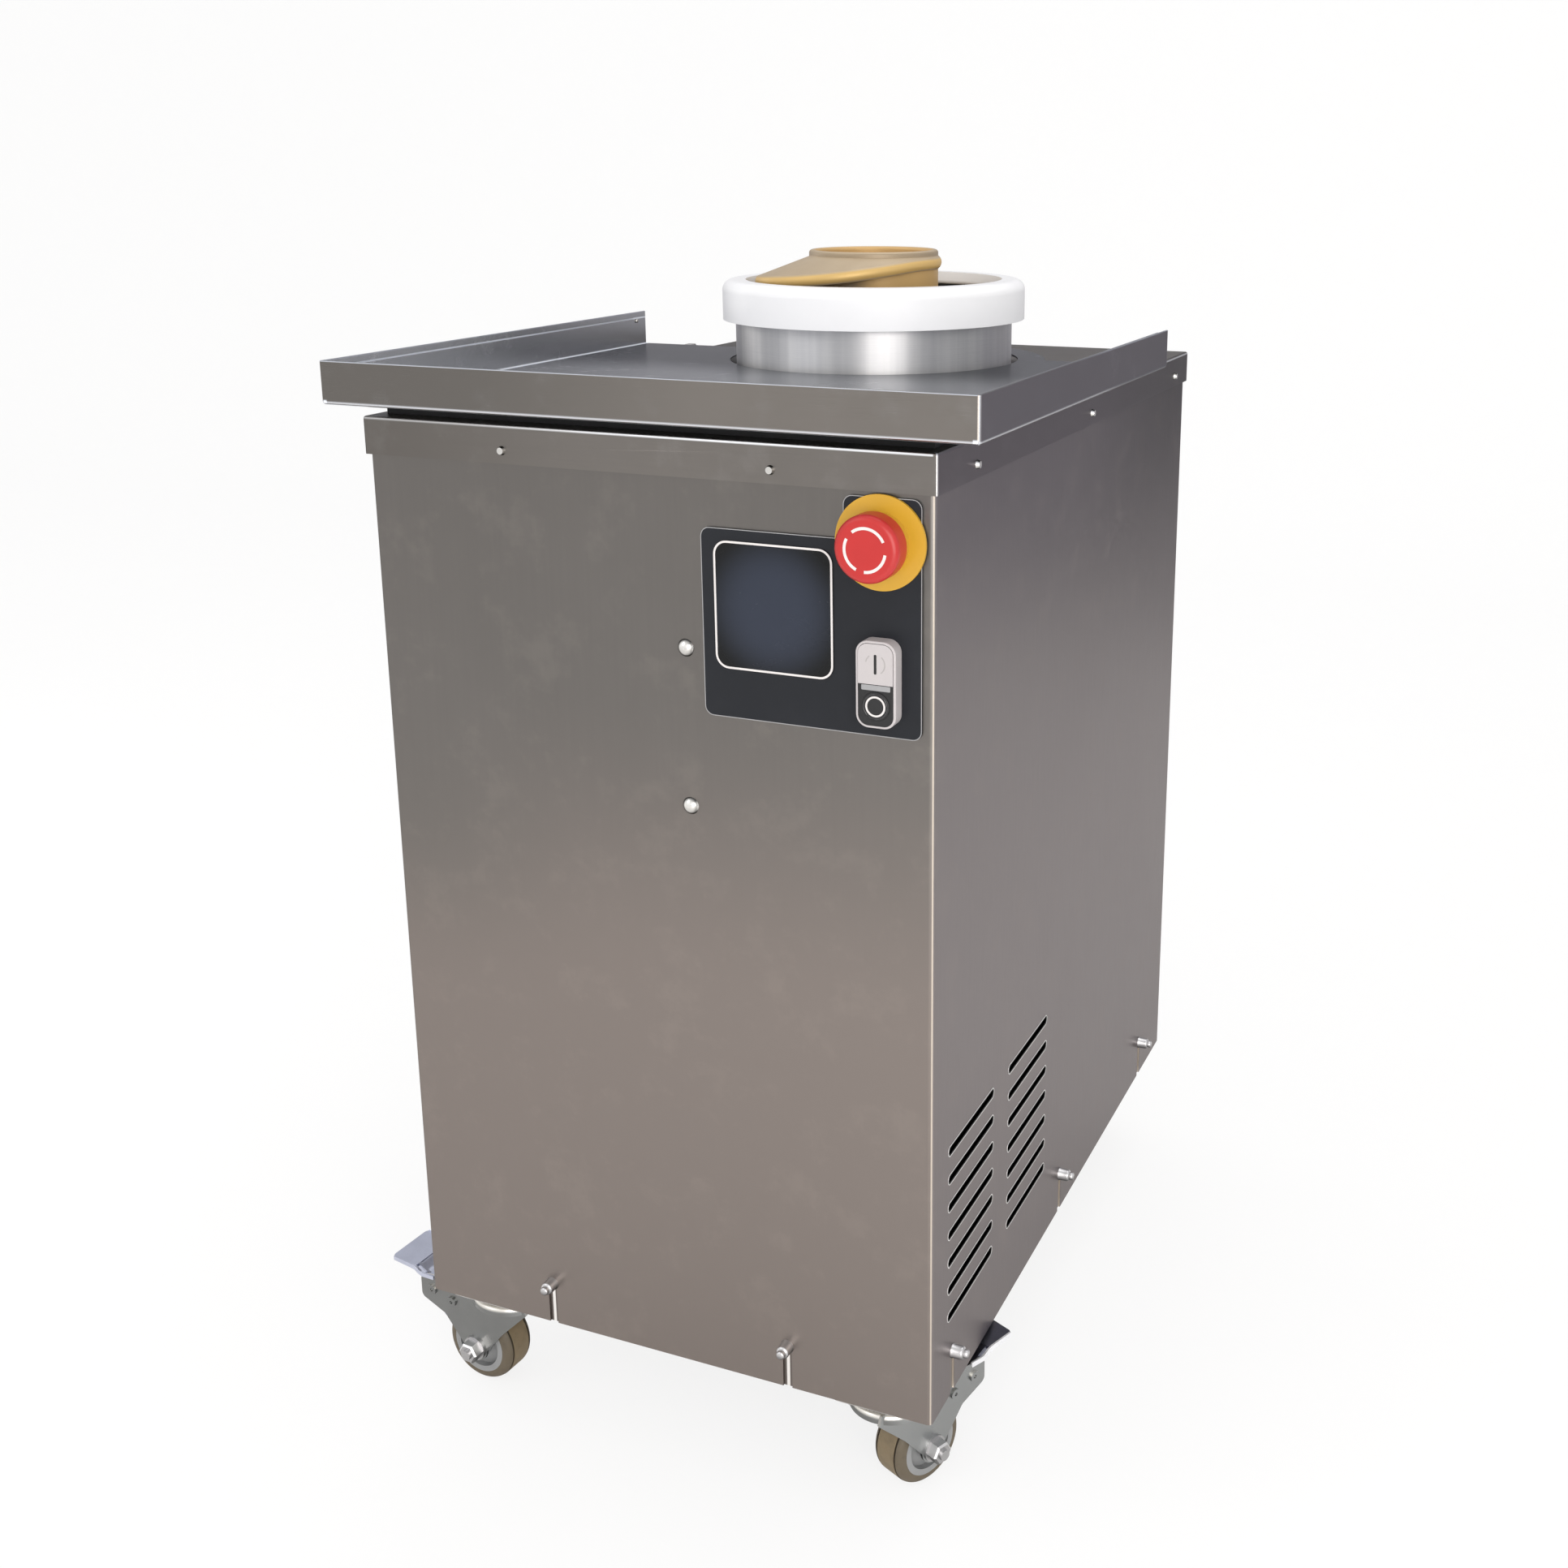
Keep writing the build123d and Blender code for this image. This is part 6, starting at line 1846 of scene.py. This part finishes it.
@dataclass
class Caster(Assembly):
    """One swivel caster, with a brake pedal where it has one."""

    corner: Corner
    joints: dict[str, dict[str, Any]]
    pedal: Finish | None = None
    lip: Finish = LIP_HIGHLIGHT
    cheek: float = 18.4
    lip_edge: float = 20.0
    lip_round: float = 0.4
    lip_path: tuple[Flat, ...] = (
        *((36.0, 18.5), (17.0, 16.9), (13.2, 15.8), (10.4, 13.8), (7.6, 12.5), (-3.0, 12.8)),
        *((-3.0, 9.8), (8.6, 9.3), (12.6, 10.9), (15.4, 12.9), (18.4, 13.5), (36.0, 15.3)),
    )
    web_half: float = 15.6
    web_path: tuple[Flat, ...] = (
        *((16.4, 15.6), (13.0, 14.4), (9.4, 11.4), (6.0, 10.4), (-6.0, 10.4)),
        *((-6.0, 9.0), (6.6, 9.0), (10.6, 10.2), (14.0, 13.0), (16.8, 14.0)),
    )

    def build(self) -> None:
        """Dresses the caster and edges its pedal."""
        self.dress(CASTER_ZINC, self.named("fork"))
        self.dress(CHROME, self.named("axle"))
        roll = self.joints[self.named("roll")]
        tread = WheelTread(self.named("tread"), tuple(roll["pos_m"]), tuple(roll["axis"]))
        self.dress(tread, self.named("tyre"))
        self.dress(HUB_GREY, self.named("hub"))
        if self.pedal:
            self.dress(self.pedal, self.named("pedal"))
            self.edge_pedal(self.pedal)

    def named(self, piece: str) -> str:
        """Name of one of the caster's nodes, joints or pieces."""
        return f"{self.corner.value}_{piece}"

    def pivot(self) -> Matrix:
        """Place of the pedal's pin: its X away from the swivel, its Y up and its Z along the pin.

        Returns:
            The place.
        """
        pin = Vector(self.joints[self.named("brake")]["pos_m"]) / MM
        away = pin - Vector(self.joints[self.named("swivel")]["pos_m"]) / MM
        away = Vector((away.x, away.y, 0.0)).normalized()
        up = Vector((0.0, 0.0, 1.0))
        axes = Matrix((away, up, away.cross(up))).transposed().to_4x4()
        return Matrix.Translation(pin) @ axes

    def edge_pedal(self, finish: Finish) -> None:
        """Joins the pedal's plate to its ears with a web, and edges it with two rolled lips.

        Args:
            finish: Finish of the web.
        """
        place = self.pivot()
        web = Mesh()
        web.prism(place, self.web_path[::-1], -self.web_half, self.web_half)
        self.fit(web.piece(self.named("pedal_web"), finish), self.named("pedal"), "caster_zinc")
        lips = Mesh()
        lips.prism(place, self.lip_path[::-1], self.cheek, self.lip_edge, self.lip_round)
        lips.prism(place, self.lip_path[::-1], -self.lip_edge, -self.cheek)
        self.fit(lips.piece(self.named("pedal_lips"), self.lip), self.named("pedal"), "caster_zinc")


@dataclass(frozen=True)
class Softbox:
    """Lamp with a wide face, turned to a point; its sizes are in metres."""

    name: str
    place: Point
    target: Point
    face: Flat
    power: float
    colour: Colour = (1.0, 1.0, 1.0)

    def build(self) -> None:
        """Hangs the lamp."""
        lamp = bpy.data.lights.new(self.name, "AREA")
        lamp.color = self.colour
        lamp.shape = "RECTANGLE"
        lamp.size, lamp.size_y = self.face
        lamp.energy = self.power
        made = bpy.data.objects.new(self.name, lamp)
        made.location = self.place
        made.rotation_euler = (Vector(self.target) - Vector(self.place)).to_track_quat("-Z", "Y").to_euler()
        made.visible_camera = False
        bpy.context.scene.collection.objects.link(made)


WARM: Colour = (1.0, 0.97, 0.93)
LAMPS = (
    Softbox("key_softbox", (-1.9, -2.4, 2.6), (0.0, 0.0, 0.5), (1.8, 1.8), 12.0),
    Softbox("strip_softbox", (1.24, -1.86, 1.0), (0.0, 0.08, 0.8), (1.4, 1.5), 27.0, WARM),
    Softbox("left_softbox", (-2.3, 0.25, 1.0), (0.0, 0.08, 0.8), (0.5, 1.2), 3.5, WARM),
    Softbox("top_softbox", (0.2, 0.6, 3.2), (0.0, 0.0, 0.6), (2.0, 2.0), 15.0),
)


@dataclass
class Studio:
    """Pale floor and backdrop, soft light and the camera, whose place is in metres."""

    camera_place: Point = (0.5761, -1.2556, 0.9105)
    camera_forward: Point = (-0.3679, 0.8939, -0.2561)
    lens: float = 41.6
    sensor: float = 36.0
    shift: Flat = (-0.0769, -0.0966)
    world_colour: Colour = (1.0, 1.0, 1.0)
    world_strength: float = 0.92
    floor_half: float = 6000.0
    floor_front: float = -5000.0
    floor_back: float = 2600.0
    sweep_radius: float = 900.0
    sweep_steps: int = 12
    backdrop_top: float = 4000.0
    lamps: Sequence[Softbox] = field(default=LAMPS)

    def build(self) -> None:
        """Sets the scene round the machine."""
        self.lay_floor()
        self.light()
        self.set_camera()

    def lay_floor(self) -> None:
        """Lays a floor that sweeps up into the backdrop."""
        profile = [(self.floor_front, 0.0), (self.floor_back, 0.0)]
        for step in range(1, self.sweep_steps + 1):
            turn = math.pi / 2 * step / self.sweep_steps
            along = self.floor_back + self.sweep_radius * math.sin(turn)
            profile.append((along, self.sweep_radius * (1 - math.cos(turn))))
        profile.append((self.floor_back + self.sweep_radius, self.backdrop_top))
        mesh = Mesh()
        for y, z in profile:
            mesh.put([Vector((-self.floor_half, y, z)), Vector((self.floor_half, y, z))])
        for row in range(len(profile) - 1):
            mesh.faces.append((2 * row, 2 * row + 1, 2 * row + 3, 2 * row + 2))
        floor = mesh.piece("floor", StudioFloor())
        LOG.info("laid the %s", floor.name)

    def light(self) -> None:
        """Lights the scene softly."""
        scene = bpy.context.scene
        scene.view_settings.view_transform = "Standard"
        world = bpy.data.worlds.new("studio")
        world.use_nodes = True
        sky = world.node_tree.nodes["Background"].inputs
        sky["Color"].default_value = (*self.world_colour, 1.0)
        sky["Strength"].default_value = self.world_strength
        scene.world = world
        for lamp in self.lamps:
            lamp.build()

    def set_camera(self) -> None:
        """Stands the camera where the photograph was taken."""
        data = bpy.data.cameras.new("camera")
        data.lens = self.lens
        data.sensor_width = self.sensor
        data.shift_x, data.shift_y = self.shift
        made = bpy.data.objects.new("camera", data)
        made.location = self.camera_place
        made.rotation_euler = Vector(self.camera_forward).to_track_quat("-Z", "Y").to_euler()
        bpy.context.scene.collection.objects.link(made)
        bpy.context.scene.camera = made


def clear_scene() -> None:
    """Empties the start-up scene."""
    for made in list(bpy.data.objects):
        bpy.data.objects.remove(made)


def main() -> None:
    """Builds the machine and its studio in order."""
    logging.basicConfig(level=logging.INFO, format="%(name)s %(message)s")
    clear_scene()
    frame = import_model()
    nodes = frame["nodes"]
    joints = {joint["name"]: joint for joint in frame["joints"]}
    assemblies = (
        Cabinet(nodes),
        Drive(nodes),
        Rounder(nodes),
        Controls(nodes),
        # The front pedals wear lit and shaded copies of one zinc, and the front right one has a painted
        # highlight on its lips.
        Caster(nodes, Corner.FRONT_LEFT, joints, PEDAL_LIT, PEDAL_LIT),
        Caster(nodes, Corner.FRONT_RIGHT, joints, PEDAL_SHADED),
        Caster(nodes, Corner.REAR_LEFT, joints),
        Caster(nodes, Corner.REAR_RIGHT, joints),
    )
    for assembly in assemblies:
        assembly.build()
    Studio().build()


if __name__ == "__main__":
    main()
